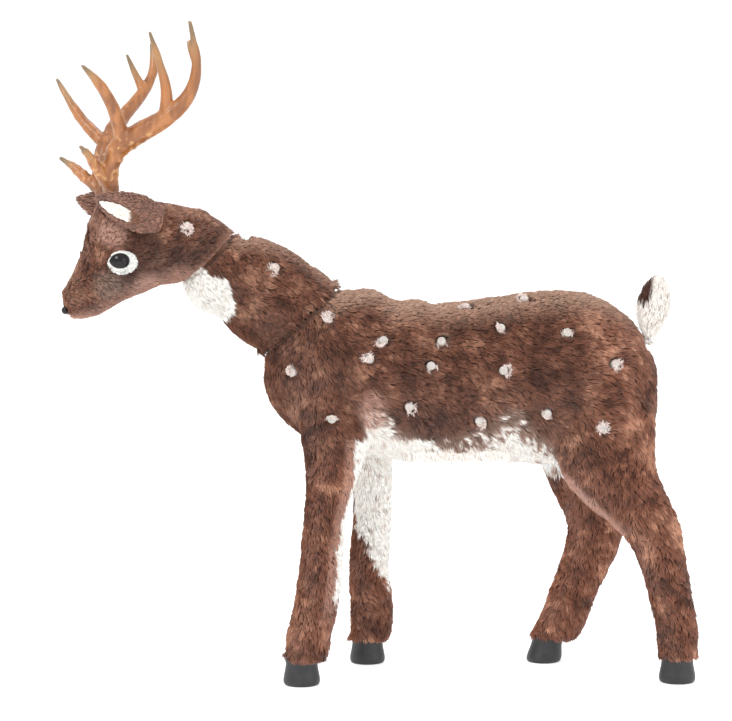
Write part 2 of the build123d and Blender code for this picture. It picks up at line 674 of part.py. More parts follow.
def hinge_pin():
    return rod((HINGE_X, -30.0, HINGE_Z), (HINGE_X, 30.0, HINGE_Z), PIN_R)


def battery_door():
    low = (BOX_X[0] + 0.4, -BOX_HALF_W, BOX_Z[0])
    high = (BOX_X[1], BOX_HALF_W, BOX_Z[0] + DOOR_T)
    door = block(low, high)
    for side in (-1, 1):
        start = (HINGE_X, side * 18.0, HINGE_Z)
        end = (HINGE_X, side * 25.0, HINGE_Z)
        door += rod(start, end, 3.0)
        web_y = sorted((start[1], end[1]))
        door += block((HINGE_X, web_y[0], BOX_Z[0]), (low[0] + 1.0, web_y[1], high[2]))
    for side in (-1, 1):
        notch = (side * EAR_OFFSET - EAR_HALF - 0.8, side * EAR_OFFSET + EAR_HALF + 0.8)
        door -= block((low[0] - 1.0, notch[0], low[2] - 1.0), (low[0] + 3.0, notch[1], high[2] + 1.0))
    door -= rod((HINGE_X, -50.0, HINGE_Z), (HINGE_X, 50.0, HINGE_Z), PIN_R + 0.05)
    return door - rod((BOX_X[1] - 8.0, 0, 250.0), (BOX_X[1] - 8.0, 0, 340.0), 1.7)


def door_screw():
    x = BOX_X[1] - 8.0
    head = rod((x, 0, BOX_Z[0] - 1.6), (x, 0, BOX_Z[0]), 3.0)
    return head + rod((x, 0, BOX_Z[0]), (x, 0, BOX_Z[0] + 9.0), 1.5)


def cell_places():
    y0 = -22.5
    for index in range(4):
        yield 74.0, y0 + index * 15.0, BOX_Z[0] + 14.0


def battery_cells():
    cells = []
    for x, y, z in cell_places():
        can = rod((x, y, z), (x + CELL_LENGTH, y, z), CELL_R)
        cells.append(can + rod((x + CELL_LENGTH, y, z), (x + CELL_LENGTH + 1.2, y, z), 2.5))
    return cells


def contact_springs():
    """One coil contact for each cell, shown as a closed conical sleeve."""
    springs = []
    for x, y, z in cell_places():
        start = x - 6.5
        cone = Pos(start, y, z) * Rotation(0, 90, 0) * Cone(5.0, 3.0, 6.5, align=(Align.CENTER, Align.CENTER, Align.MIN))
        springs.append(cone - rod((start - 1, y, z), (x + 1, y, z), 2.2))
    return springs


def timer_board():
    board = block((70.0, -24.0, BOX_Z[1] + 5.0), (130.0, 24.0, BOX_Z[1] + 6.6))
    chip = block((92.0, -6.0, BOX_Z[1] + 6.6), (104.0, 6.0, BOX_Z[1] + 8.6))
    for x, y in ((74.0, -20.0), (74.0, 20.0), (126.0, -20.0), (126.0, 20.0)):
        board += rod((x, y, BOX_Z[1]), (x, y, BOX_Z[1] + 5.0), 2.0)
    return board + chip


def switch_housing():
    low = (SWITCH_X - 10.0, -7.0, BOX_Z[0])
    high = (SWITCH_X + 10.0, 7.0, BOX_Z[0] + 11.0)
    slot = block((SWITCH_X - 4.4, -2.4, BOX_Z[0] - 1), (SWITCH_X + 4.4, 2.4, BOX_Z[0] + 2.0))
    room = block((SWITCH_X - 7.0, -5.0, BOX_Z[0] + 2.0), (SWITCH_X + 7.0, 5.0, BOX_Z[0] + 8.0))
    bracket = block((BOX_X[1], -7.0, BOX_Z[0] + 6.0), (low[0], 7.0, BOX_Z[0] + 11.0))
    return block(low, high) + bracket - slot - room


def switch_slider():
    """Knob and carriage, at the off end of its travel."""
    x = SWITCH_X - SWITCH_TRAVEL / 2
    knob = block((x - 2.0, -2.0, BOX_Z[0] - 2.5), (x + 2.0, 2.0, BOX_Z[0] + 3.0))
    carriage = block((x - 4.0, -4.0, BOX_Z[0] + 2.6), (x + 4.0, 4.0, BOX_Z[0] + 5.6))
    return knob + carriage


def wiring_trunk():
    """Bundled lamp wires under the spine tube, from the board to the neck and the rump."""
    z = SPINE_Z - CROSSBAR / 2 - WIRE_R - 0.5
    run = rod((-18.0, -15.0, z), (340.0, -15.0, z), WIRE_R)
    return run + rod((120.0, -15.0, BOX_Z[1] + 6.6), (120.0, -15.0, z), WIRE_R)


# ---- tail ---------------------------------------------------------------------------
def tail_pocket():
    x, z = TAIL_ROOT
    radius = TAIL_ROOT_R + 1.2
    slot = rod((x, -13.0, z), (x, 13.0, z), radius)
    throat = block((x - radius, -13.0, z), (x + 40.0, 13.0, z + 60.0))
    return slot + throat


def tail_cover():
    x, z = TAIL_ROOT
    rings = []
    for rise, depth, half_width in TAIL:
        rings.append(Pos(x + TAIL_LEAN * rise / 30.0, 0, z + rise) * Ellipse(depth, half_width))
    leaf = loft(rings)
    root = rod((x, -10.0, z), (x, 10.0, z), TAIL_ROOT_R)
    return leaf + root - rod((x, -11.0, z), (x, 11.0, z), 2.2)


def tail_pin():
    x, z = TAIL_ROOT
    pin = rod((x, -14.0, z), (x, 14.0, z), 2.0)
    return pin


# ---- assembly -----------------------------------------------------------------------
def lamps_for(solid, places, vertical_places=()):
    frames = lamp_frames(solid, places)
    frames += lamp_frames(solid, vertical_places, vertical=True)
    return lamp_parts(frames)


def main():
    os.makedirs("parts", exist_ok=True)

    skin = torso_skin()
    caps, bulbs, holes = lamps_for(skin, FLANK_LAMPS, SPINE_LAMPS)
    save("torso_cover", torso_cover(skin, holes))
    save("led_caps_body", *caps)
    save("led_bulbs_body", *bulbs)
    for name in LEGS:
        hoof_body = hoof(name)
        save(f"hoof_{name}", hoof_body)
        save(f"leg_cover_{name}", leg_cover(name, skin, hoof_body))
        save(f"leg_tube_{name}", hollow_leg_tube(name))
    save("leg_lock_screws", *[leg_screw(name) for name in LEGS])
    save("spine_tube", spine_tube())
    save("shoulder_crossbar", crossbar(SHOULDER_BAR_X, BAR_HALF["front"], ("front_left", "front_right")))
    save("hip_crossbar", crossbar(HIP_BAR_X, BAR_HALF["rear"], ("rear_left", "rear_right")))
    save("neck_socket", neck_socket())
    save("neck_bushing", neck_bushing())
    save("battery_box", battery_box())
    save("battery_box_hangers", box_hanger(-1), box_hanger(1))
    save("battery_door_hinge_pin", hinge_pin())
    save("battery_cells", *battery_cells())
    save("contact_springs", *contact_springs())
    save("timer_board", timer_board())
    save("switch_housing", switch_housing())
    save("wiring_trunk", wiring_trunk())
    save("tail_pin", tail_pin())

    save("battery_door", battery_door())
    save("door_screw", door_screw())
    save("switch_slider", switch_slider())
    save("tail_cover", tail_cover())

    neck_caps, neck_bulbs, neck_holes = lamps_for(profile_loft(NECK), [NECK_LAMP])
    save("neck_cover", neck_cover(neck_holes))
    save("neck_tube", neck_tube())
    save("neck_keeper", neck_keeper())
    save("led_caps_neck", *neck_caps)
    save("led_bulbs_neck", *neck_bulbs)
    save("head_cap_nut", head_cap_nut())

    head_caps, head_bulbs, head_holes = lamps_for(head_profile(), [(HEAD_X - HEAD_LAMP[0], HEAD_LAMP[1])])
    eyes = {"left": eye(1), "right": eye(-1)}
    rings = [eye_ring(1), eye_ring(-1)]
    ears = {"left": ear_loft(1), "right": ear_loft(-1)}
    sockets = [antler_socket(1), antler_socket(-1)]
    bead = nose()
    holes = list(head_holes) + list(eyes.values()) + rings + list(ears.values())
    holes += [nose_hole(), antler_plate(0.4), head_arm(5.5)]
    for side in (1, -1):
        forward, y = ANTLER_BASE
        low = head_point(forward, side * y, SOCKET_Z[0] - 2.0)
        holes.append(rod(low, head_point(forward, side * y, 720.0), ANTLER_PEG_R + 2.8))
    save("head_cover", turn_head(head_cover(holes)))
    save("head_frame", turn_head(head_frame()))
    save("antler_sockets", *map(turn_head, sockets))
    save("led_caps_head", *map(turn_head, head_caps))
    save("led_bulbs_head", *map(turn_head, head_bulbs))
    save("nose", turn_head(bead))
    for word, side in (("left", 1), ("right", -1)):
        lining = ear_lining(side)
        save(f"ear_{word}", turn_head(ears[word] - lining))
        save(f"ear_lining_{word}", turn_head(lining))
        save(f"eye_{word}", turn_head(eyes[word]))
        save(f"antler_{word}", turn_head(antler(side)))
    save("eye_rings", *map(turn_head, rings))
    save("eye_washers", turn_head(eye_washer(1)), turn_head(eye_washer(-1)))


main()
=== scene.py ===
"""Looks of the light up yard reindeer: faux fur, moulded antlers and hooves, eyes and lamp caps.

Metres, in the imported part's frame. "Stance" coordinates are the same frame moved so that y = 0 is
the body's middle plane and x = 0 is a little behind the shoulders.
"""
import json
import math

import bpy
import numpy as np
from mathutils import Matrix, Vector, noise
from mathutils.bvhtree import BVHTree
from mathutils.kdtree import KDTree


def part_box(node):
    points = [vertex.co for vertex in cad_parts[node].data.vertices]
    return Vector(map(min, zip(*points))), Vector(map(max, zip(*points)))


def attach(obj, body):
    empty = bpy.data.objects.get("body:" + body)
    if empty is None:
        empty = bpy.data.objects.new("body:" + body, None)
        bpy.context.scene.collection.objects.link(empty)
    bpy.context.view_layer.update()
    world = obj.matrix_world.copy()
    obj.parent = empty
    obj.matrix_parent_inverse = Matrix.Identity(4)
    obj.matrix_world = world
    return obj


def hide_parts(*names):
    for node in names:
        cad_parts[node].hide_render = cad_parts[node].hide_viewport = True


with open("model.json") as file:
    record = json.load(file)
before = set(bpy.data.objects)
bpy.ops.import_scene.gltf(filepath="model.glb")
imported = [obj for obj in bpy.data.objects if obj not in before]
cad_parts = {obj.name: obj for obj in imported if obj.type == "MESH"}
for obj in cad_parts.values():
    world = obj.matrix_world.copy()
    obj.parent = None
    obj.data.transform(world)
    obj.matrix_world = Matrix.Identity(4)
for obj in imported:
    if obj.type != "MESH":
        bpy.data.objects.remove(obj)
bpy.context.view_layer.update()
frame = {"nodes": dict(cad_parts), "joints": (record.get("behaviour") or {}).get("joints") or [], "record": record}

NODES = frame["nodes"]
JOINTS = {joint["name"]: joint for joint in frame["joints"]}

SWIVEL_STANCE = Vector((-0.106, 0.0, 0.503))         # where the neck swivels, in the stance frame
STANCE = Vector(JOINTS["neck_swivel"]["pos_m"]) - SWIVEL_STANCE
HEAD_PIVOT = Vector(JOINTS["head_turn"]["pos_m"])
HEAD_YAW = math.radians(16.0)
LEGS = ("front_left", "front_right", "rear_left", "rear_right")

SEED = 20
HIDE_SINK = 0.004          # backing of the fabric below the CAD cover's outside
HARDWARE_ROOM = 0.0020     # least depth of a hide over the hard pieces below it
TUFT_AREA = 2.8e-6         # hide area for each tuft, in square metres
TUFTS_PER_PIECE = 19000
TUFTS_PER_CLUMP = 22
FUR_FOOT = 0.030           # no fur hangs below this height
FUR_GLOW = 0.07            # stands in for the light that passes through the pile
LOOK_DIRECTIONS = 26       # directions tried from each face of a skin, to tell outside from inside

LAMP_BARE = 0.0075         # no brown fur within this distance of a lamp cap's middle
LAMP_PILE = (0.0056, 0.0076)         # white pile is rooted between these distances from it
LAMP_REACH = 0.020         # fur further than this from every cap's middle is clear of the lamps
LAMP_TUFTS = 120

PATCH_SHIFT = (-0.0042, -0.0016)     # forward and up, from the eye's middle to its white patch's
PATCH_HALF = (0.0190, 0.0150)        # half length and half height of the white patch
IRIS_SHIFT = (0.0006, 0.0008)        # forward and up, from the eye's middle to the bare eye's
IRIS_HALF = (0.0134, 0.0104)         # half length and half height of the bare eye
FELT_ROWS = 5
FELT_STEPS = 48
FELT_RISE = 0.0004
EYE_TUFTS = 900

DOOR_SCREW_BARE = 0.0035   # radius round the battery door's screw that stays bare
DOOR_SCREW_INSET = 0.008
FRINGE_TUFTS = 1100        # on each side of the battery box

SEAM_HOLE = 0.030          # the neck cover's foot is wider than this round the swivel's axis
SEAM_SHARES = (0.55, 0.955)          # inner and outer edge of the dark sheet of painted shade in the seam, of that foot
SEAM_HEIGHTS = (-0.0016, 0.0005)     # its underside and top, along the axis from that foot

ANTLER_NEIGHBOURS = 60     # points over which an antler's thickness is averaged
FLOOR_HALF = 30.0


# ---- small helpers ------------------------------------------------------------------
def srgb(red, green, blue):
    """Linear colour of an 8-bit screen colour."""
    return np.array([((c / 255 + 0.055) / 1.055) ** 2.4 for c in (red, green, blue)])


def smooth(value, low, high):
    t = np.clip((value - low) / (high - low), 0.0, 1.0)
    return t * t * (3.0 - 2.0 * t)


def noise_at(points, size, seed):
    """Smooth noise from -1 to 1 with features about size metres across."""
    shift = Vector((seed * 7.13, seed * 3.71, seed * 5.37))
    values = [noise.noise(Vector(p) + shift) for p in (points / size).tolist()]
    return np.array(values)


def unit(vectors):
    return vectors / np.maximum(np.linalg.norm(vectors, axis=1, keepdims=True), 1e-9)


def mix(a, b, t):
    t = np.asarray(t)[:, None]
    return a * (1.0 - t) + b * t


def in_stance(points):
    """The x, y and z of points in the stance frame."""
    return (points - np.array(STANCE)).T


def inside_outline(x, z, outline):
    """Which (x, z) points lie inside a closed outline."""
    inside = np.zeros(len(x), bool)
    for (x0, z0), (x1, z1) in zip(outline, outline[1:] + outline[:1]):
        crosses = (z0 > z) != (z1 > z)
        run = (x1 - x0) * (z - z0) / (z1 - z0 + 1e-12) + x0
        inside ^= crosses & (x < run)
    return inside


def near_line(x, z, points):
    """Distance in the (x, z) plane to a chain of points."""
    best = np.full(len(x), 9.0)
    for (x0, z0), (x1, z1) in zip(points, points[1:]):
        length = (x1 - x0) ** 2 + (z1 - z0) ** 2
        t = np.clip(((x - x0) * (x1 - x0) + (z - z0) * (z1 - z0)) / length, 0, 1)
        best = np.minimum(best, np.hypot(x - x0 - t * (x1 - x0), z - z0 - t * (z1 - z0)))
    return best


def to_head(points):
    """Part frame points as (forward, side, z) of the head before it was turned."""
    local = points - np.array(HEAD_PIVOT)
    forward = -(local[:, 0] * math.cos(HEAD_YAW) + local[:, 1] * math.sin(HEAD_YAW))
    side = -(-local[:, 0] * math.sin(HEAD_YAW) + local[:, 1] * math.cos(HEAD_YAW))
    return forward, side, points[:, 2]


def head_direction(forward, side, up):
    x, y = -forward, -side
    return np.array([x * math.cos(HEAD_YAW) - y * math.sin(HEAD_YAW),
                     x * math.sin(HEAD_YAW) + y * math.cos(HEAD_YAW), up])


# ---- paint of the coat --------------------------------------------------------------
DARK = srgb(68, 38, 27)
MID = srgb(111, 70, 53)
LIGHT = srgb(164, 119, 96)
PINK = srgb(198, 156, 140)
GREY = srgb(140, 120, 108)
MOTTLE = srgb(172, 138, 122)
MUZZLE = srgb(152, 110, 90)
CREAM = srgb(250, 245, 239)
# paler tone for upward-facing fur on the back and neck: partly a paler top coat, partly painted light from above
PALE_AND_LIT_TOP = srgb(174, 140, 120)
LAMP_WHITE = srgb(228, 214, 208)
EYE_WHITE = srgb(214, 216, 213)

# stance (x, z) in metres: where the belly turns white, and where it starts to be mottled
BELLY_WHITE = [(-0.014, 0.352), (0.013, 0.345), (0.030, 0.331), (0.068, 0.316), (0.123, 0.320),
               (0.163, 0.336), (0.184, 0.345), (0.213, 0.328), (0.248, 0.305)]
BELLY_MOTTLED = [(-0.024, 0.398), (-0.003, 0.399), (0.013, 0.379), (0.030, 0.353), (0.068, 0.338),
                 (0.135, 0.352), (0.171, 0.378), (0.190, 0.380), (0.218, 0.350), (0.248, 0.325)]
THIGH_EDGE = [(0.249, 0.302), (0.279, 0.273), (0.307, 0.245), (0.337, 0.213)]
THROAT = [(-0.290, 0.566), (-0.241, 0.578), (-0.235, 0.566), (-0.210, 0.566), (-0.196, 0.521),
          (-0.210, 0.506), (-0.245, 0.515), (-0.290, 0.540)]


def along_line(x, points):
    return np.interp(x, [p[0] for p in points], [p[1] for p in points])


def browns(points, clump):
    """The brown pile: broad patches, clumps and single tufts of three tones."""
    broad = noise_at(points, 0.070, 1)
    patch = noise_at(points, 0.024, 2)
    fine = noise_at(points, 0.009, 3)
    tone = 0.49 + 0.36 * broad + 0.40 * patch + 0.22 * fine + 0.20 * clump
    colour = mix(DARK, MID, smooth(tone, 0.05, 0.55))
    return mix(colour, LIGHT, smooth(tone, 0.50, 1.05))


def speckled(colour, pale, amount, points, seed):
    """Mottling: amount 0 keeps colour, 1 is all pale, and between them patches mix."""
    grain = 0.75 * noise_at(points, 0.007, seed) + 0.35 * noise_at(points, 0.020, seed + 1)
    share = amount * 1.3 - 0.15 + grain * 1.2 * smooth(amount, 0.0, 0.25)
    colour = mix(colour, MOTTLE, 0.6 * smooth(share, 0.10, 0.50))
    return mix(colour, pale, smooth(share, 0.32, 0.86))


def paint_body(points, normals, clump):
    x, y, z = in_stance(points)
    colour = browns(points, clump)
    # rump and lower legs made lighter: partly a paler coat, partly painted light
    paler_and_lit = np.maximum(smooth(x, 0.255, 0.330), 1.0 - smooth(z, 0.285, 0.360))
    colour = colour * (1.0 + 0.34 * paler_and_lit)[:, None]
    # upward-facing fur on the back turns paler: partly a paler top coat, partly painted light from above
    colour = mix(colour, PALE_AND_LIT_TOP, 0.8 * smooth(normals[:, 2], 0.50, 0.95) * (z > 0.48))

    wobble = 0.006 * noise_at(points, 0.030, 5)
    white_z = along_line(x, BELLY_WHITE) + wobble - 0.014 * smooth(x, 0.015, 0.045)
    mottled_z = along_line(x, BELLY_MOTTLED) + wobble + 0.014 * smooth(x, 0.010, 0.040)
    belly = 1.0 - np.clip((z - white_z) / np.maximum(mottled_z - white_z, 0.004), 0, 1)
    belly *= smooth(x, -0.030, -0.012) * (1.0 - smooth(x, 0.240, 0.262)) * smooth(z, 0.280, 0.292)
    grey = mix(colour, GREY, 0.55 * smooth(belly, 0.0, 0.3) * (1 - smooth(belly, 0.8, 1.0)))
    colour = speckled(grey, CREAM, belly, points, 6)

    elbow = 1.0 - smooth(np.hypot((x + 0.012) / 0.020, (z - 0.385) / 0.028), 0.5, 1.25)
    colour = mix(colour, PINK, np.clip((0.65 + 0.6 * noise_at(points, 0.010, 7)) * elbow, 0.0, 1.0))

    for name in LEGS:
        side = -1.0 if name.endswith("left") else 1.0
        inward = -side * normals[:, 1]
        on_leg = (side * y > 0.0) & (z < 0.345)
        if name.startswith("front"):
            on_leg &= x < 0.075
            centre, half = leg_centre(name, z)
            across = (x - centre) / half
            rear = smooth(across + wobble * 12, 0.52, 0.66) * smooth(z, 0.100, 0.140)
            diagonal = 0.118 + 0.050 * (1.0 - across)
            inner = smooth(inward, 0.05, 0.35) * smooth(z - diagonal + wobble * 2, -0.020, 0.014)
            inner *= smooth(across, -0.95, -0.55)
            amount = np.maximum(rear, inner) * (1.0 - smooth(z, 0.335, 0.352) * (across < 0.5))
            pinkish = (1.0 - smooth(np.abs(across - 0.45), 0.08, 0.30)) * smooth(z, 0.080, 0.130)
            pinkish = pinkish * (side < 0)
            colour = mix(colour, PINK, 0.45 * pinkish * on_leg)
            colour = np.where(on_leg[:, None], speckled(colour, CREAM, amount, points, 8), colour)
        else:
            on_leg &= x > 0.180
            amount = smooth(inward, -0.2, 0.3) * smooth(z, 0.262, 0.296)
            colour = np.where(on_leg[:, None], speckled(colour, CREAM, amount, points, 9), colour)
            # far rear leg painted lighter: painted light that offsets the shade it stands in
            colour = np.where((on_leg & (side > 0.0))[:, None], colour * 1.12, colour)
            edge = 1.0 - smooth(near_line(x, z, THIGH_EDGE), 0.003, 0.010)
            edge = edge * (side < 0)
            colour = mix(colour, PINK, 0.8 * edge * on_leg)
    between = (np.abs(y) < 0.030) & (z < 0.345) & (x > 0.225)
    return np.where(between[:, None], CREAM, colour)


def paint_neck(points, normals, clump):
    x, y, z = in_stance(points)
    colour = browns(points, clump)
    # upward-facing fur on the neck turns paler: partly a paler top coat, partly painted light from above
    colour = mix(colour, PALE_AND_LIT_TOP, 0.5 * smooth(normals[:, 2], 0.5, 0.95))
    jitter = 0.004 * noise_at(points, 0.016, 11)
    patch = inside_outline(x + jitter, z + jitter, THROAT)
    return np.where(patch[:, None], CREAM, colour)


def paint_head(points, normals, clump):
    forward, side, z = to_head(points)
    side = np.abs(side)
    colour = browns(points, clump)

    def spot(f, height, radius):
        return 1.0 - smooth(np.hypot(forward - f, z - height), radius * 0.4, radius)

    outside = smooth(side, 0.015, 0.035)
    colour = mix(colour, DARK, 0.75 * spot(0.126, 0.606, 0.034) * outside)
    colour = mix(colour, DARK, 0.5 * spot(0.100, 0.588, 0.034) * outside)
    colour = mix(colour, PINK, 0.75 * spot(0.166, 0.622, 0.024) * outside)
    colour = mix(colour, GREY, 0.55 * spot(0.172, 0.556, 0.026) * outside)
    colour = mix(colour, PINK, 0.60 * spot(0.120, 0.552, 0.026) * outside)
    colour = mix(colour, PINK, 0.55 * smooth(-normals[:, 2], 0.35, 0.9))
    chin = smooth(forward, 0.176, 0.192) * (1.0 - smooth(z, 0.510, 0.520))
    colour = mix(colour, PINK, 0.85 * chin)
    muzzle = smooth(forward, 0.196, 0.215) * smooth(z, 0.520, 0.534)
    colour = mix(colour, MUZZLE, 0.75 * muzzle)
    rim = 1.0 - smooth(forward - (0.030 - (z - 0.59) * 0.9), 0.0, 0.020)
    return mix(colour, LIGHT, 0.45 * rim)


def paint_ear(points, normals, clump):
    return mix(browns(points, clump), PINK, np.full(len(points), 0.35))


def paint_lamp(points, normals, clump):
    return mix(LAMP_WHITE, PINK, 0.05 + 0.15 * np.abs(clump))


def paint_lining(points, normals, clump):
    return mix(CREAM, PINK, 0.08 + 0.10 * np.abs(clump))


def paint_eye(points, normals, clump):
    return mix(EYE_WHITE, CREAM, 0.3 + 0.3 * clump)


def paint_ear_lining(points, normals, clump):
    reach = to_head(points)[0]
    brown = 1.0 - smooth(reach - reach.min(), 0.011, 0.016)
    soft_brown = mix(browns(points, clump), LIGHT, np.full(len(points), 0.5))
    return mix(paint_lining(points, normals, clump), soft_brown, brown)


def paint_tail(points, normals, clump):
    x, y, z = in_stance(points)
    front = 0.384 + 0.0040 * (z - 0.474) / 0.030
    strip = (1.0 - smooth(x - front, -0.010, -0.004)) * smooth(z, 0.512, 0.524)
    return mix(mix(CREAM, PINK, 0.05 + 0.08 * np.abs(clump)), DARK, strip)


# ---- flow of the pile ---------------------------------------------------------------
def steady(*direction):
    """A flow that is the same everywhere."""
    return lambda points, normals: np.tile(np.array(direction), (len(points), 1))


def flow_body(points, normals):
    x, y, z = in_stance(points)
    limbs = np.maximum(1.0 - smooth(x, -0.10, 0.0), smooth(x, 0.33, 0.38))
    down = np.maximum(1.0 - smooth(z, 0.30, 0.40), limbs)
    return mix(np.array([0.9, 0.0, -0.35]), np.array([0.12, 0.0, -1.0]), down)


def flow_head(points, normals):
    cheek = head_direction(-0.9, 0.0, -0.35)
    crown = head_direction(-0.9, 0.0, 0.25)
    return mix(cheek, crown, smooth(points[:, 2], 0.54, 0.60))


flow_neck = steady(0.75, 0.0, -0.50)
flow_ear = steady(*head_direction(0.9, 0.25, 0.30))
flow_tail = steady(0.10, 0.0, 1.0)
flow_door = steady(1.0, 0.0, 0.0)
flow_fringe = steady(0.15, 0.0, -1.0)


def seam_boost(points):
    """Longer pile at the foot of the neck, so that it lies over the seam."""
    height = (points - np.array(JOINTS["neck_swivel"]["pos_m"])) @ np.array(JOINTS["neck_swivel"]["axis"])
    return 1.0 + 0.6 * (1.0 - smooth(height, SEAM_LEVEL + 0.002, SEAM_LEVEL + 0.018))


# ---- hide and tufts -----------------------------------------------------------------
def new_piece(name, data):
    """An object in the scene: a mesh, a light or a camera."""
    piece = bpy.data.objects.new(name, data)
    bpy.context.scene.collection.objects.link(piece)
    return piece


def vertex_arrays(mesh):
    """Places and normals of a mesh's vertices."""
    arrays = []
    for field in ("co", "normal"):
        values = np.empty(len(mesh.vertices) * 3)
        mesh.vertices.foreach_get(field, values)
        arrays.append(values.reshape(-1, 3))
    return arrays


def mesh_tree(mesh):
    return BVHTree.FromPolygons([v.co for v in mesh.vertices], [p.vertices for p in mesh.polygons])


def point_tree(points):
    tree = KDTree(len(points))
    for index, point in enumerate(points):
        tree.insert(point, index)
    tree.balance()
    return tree


def node_arrays(names):
    """Vertices and faces of several CAD nodes as one mesh."""
    vertices, faces = [], []
    for name in names:
        mesh = NODES[name].data
        base = len(vertices)
        vertices += [v.co[:] for v in mesh.vertices]
        faces += [[base + i for i in polygon.vertices] for polygon in mesh.polygons]
    return vertices, faces


def remeshed(name, nodes, voxel, rounds):
    """One even, softened skin over the given CAD nodes."""
    vertices, faces = node_arrays(nodes)
    mesh = bpy.data.meshes.new(name + "_source")
    mesh.from_pydata(vertices, [], faces)
    source = new_piece(name + "_source", mesh)
    remesh = source.modifiers.new("Remesh", "REMESH")
    remesh.mode = "VOXEL"
    remesh.voxel_size = voxel
    soften = source.modifiers.new("Soften", "SMOOTH")
    soften.factor = 0.5
    soften.iterations = rounds
    bpy.context.view_layer.update()
    evaluated = source.evaluated_get(bpy.context.evaluated_depsgraph_get())
    result = bpy.data.meshes.new_from_object(evaluated)
    result.name = name
    bpy.data.objects.remove(source)
    bpy.data.meshes.remove(mesh)
    for polygon in result.polygons:
        polygon.use_smooth = True
    return new_piece(name, result)


def scene_tree(skip):
    """Everything in the frame except some nodes, for telling outside from inside."""
    vertices, faces = node_arrays([name for name in NODES if name not in skip])
    return BVHTree.FromPolygons(vertices, faces)


def sphere_directions(count):
    directions = []
    for index in range(count):
        z = 1 - 2 * (index + 0.5) / count
        angle = index * math.pi * (3 - math.sqrt(5))
        r = math.sqrt(1 - z * z)
        directions.append(Vector((r * math.cos(angle), r * math.sin(angle), z)))
    return directions


def outside_faces(mesh, others):
    """Faces of a skin that can be seen from outside, as a boolean array."""
    own = mesh_tree(mesh)
    directions = sphere_directions(LOOK_DIRECTIONS)
    result = []
    for polygon in mesh.polygons:
        start = polygon.center + polygon.normal * 0.002
        escapes = 0
        for direction in directions:
            if direction.dot(polygon.normal) < 0.25:
                continue
            if all(tree.ray_cast(start, direction)[0] is None for tree in (own, others)):
                escapes += 1
                if escapes == 2:
                    break
        result.append(escapes == 2)
    return np.array(result)


def set_colours(mesh, colours):
    """Colour of each vertex, as the attribute that the fur material reads."""
    attribute = mesh.color_attributes.new("Coat", "FLOAT_COLOR", "POINT")
    rgba = np.ones((len(mesh.vertices), 4), np.float32)
    rgba[:, :3] = colours
    attribute.data.foreach_set("color", rgba.ravel())


def sample_faces(mesh, chosen, area_each):
    """Random points on the chosen faces, even by area, with their normals."""
    mesh.calc_loop_triangles()
    count = len(mesh.loop_triangles)
    corners = np.empty(count * 3, np.int32)
    owner = np.empty(count, np.int32)
    mesh.loop_triangles.foreach_get("vertices", corners)
    mesh.loop_triangles.foreach_get("polygon_index", owner)
    keep = chosen[owner]
    corners = corners.reshape(-1, 3)[keep]
    co, normals = vertex_arrays(mesh)
    a, b, c = co[corners[:, 0]], co[corners[:, 1]], co[corners[:, 2]]
    area = 0.5 * np.linalg.norm(np.cross(b - a, c - a), axis=1)
    total = int(area.sum() / area_each)
    pick = rng.choice(len(area), total, p=area / area.sum())
    u = rng.random((total, 1))
    v = rng.random((total, 1))
    flip = (u + v) > 1
    u[flip] = 1 - u[flip]
    v[flip] = 1 - v[flip]
    points = a[pick] + u * (b[pick] - a[pick]) + v * (c[pick] - a[pick])
    na, nb, nc = (normals[corners[pick, k]] for k in range(3))
    return points, unit(na * (1 - u - v) + nb * u + nc * v)


def nearest(centres, points):
    """Index of the nearest centre to each point, and its distance."""
    tree = point_tree(centres)
    found = [tree.find(point) for point in points.tolist()]
    return np.array([f[1] for f in found]), np.array([f[2] for f in found])


def tuft_mesh(name, rings, colours):
    """Closed three-sided tufts. rings: root, middle and tip points; colours for each ring."""
    roots, mids, tips, width, tangent_a, tangent_b = rings
    count = len(roots)
    vertices = np.empty((count, 7, 3), np.float32)
    for corner in range(3):
        angle = math.tau * corner / 3
        across = math.cos(angle) * tangent_a + math.sin(angle) * tangent_b
        vertices[:, corner] = roots + across * width[:, None] * 0.50
        vertices[:, 3 + corner] = mids + across * width[:, None] * 0.44
    vertices[:, 6] = tips
    pattern = [(2, 1, 0), (0, 1, 4, 3), (1, 2, 5, 4), (2, 0, 3, 5), (3, 4, 6), (4, 5, 6), (5, 3, 6)]
    sizes = np.tile(np.array([len(p) for p in pattern], np.int32), count)
    flat = np.array([i for p in pattern for i in p], np.int32)
    loops = (flat[None, :] + 7 * np.arange(count, dtype=np.int32)[:, None]).ravel()
    mesh = bpy.data.meshes.new(name)
    mesh.vertices.add(count * 7)
    mesh.vertices.foreach_set("co", vertices.ravel())
    mesh.loops.add(len(loops))
    mesh.loops.foreach_set("vertex_index", loops)
    mesh.polygons.add(len(sizes))
    starts = np.concatenate([[0], np.cumsum(sizes)[:-1]]).astype(np.int32)
    mesh.polygons.foreach_set("loop_start", starts)
    mesh.polygons.foreach_set("use_smooth", np.ones(len(sizes), bool))
    mesh.update(calc_edges=True)
    set_colours(mesh, colours.reshape(-1, 3))
    per_row = math.ceil(math.sqrt(count))
    cell = np.arange(count)
    column, row = cell % per_row, cell // per_row
    corner_u = np.array([0.2, 0.5, 0.8, 0.2, 0.5, 0.8, 0.5])
    corner_v = np.array([0.15, 0.15, 0.15, 0.5, 0.5, 0.5, 0.85])
    u = (column[:, None] + corner_u[None, :][:, flat]) / per_row
    v = (row[:, None] + corner_v[None, :][:, flat]) / per_row
    layer = mesh.uv_layers.new(name="OFBake")
    layer.data.foreach_set("uv", np.stack([u, v], axis=2).astype(np.float32).ravel())
    return new_piece(name, mesh)


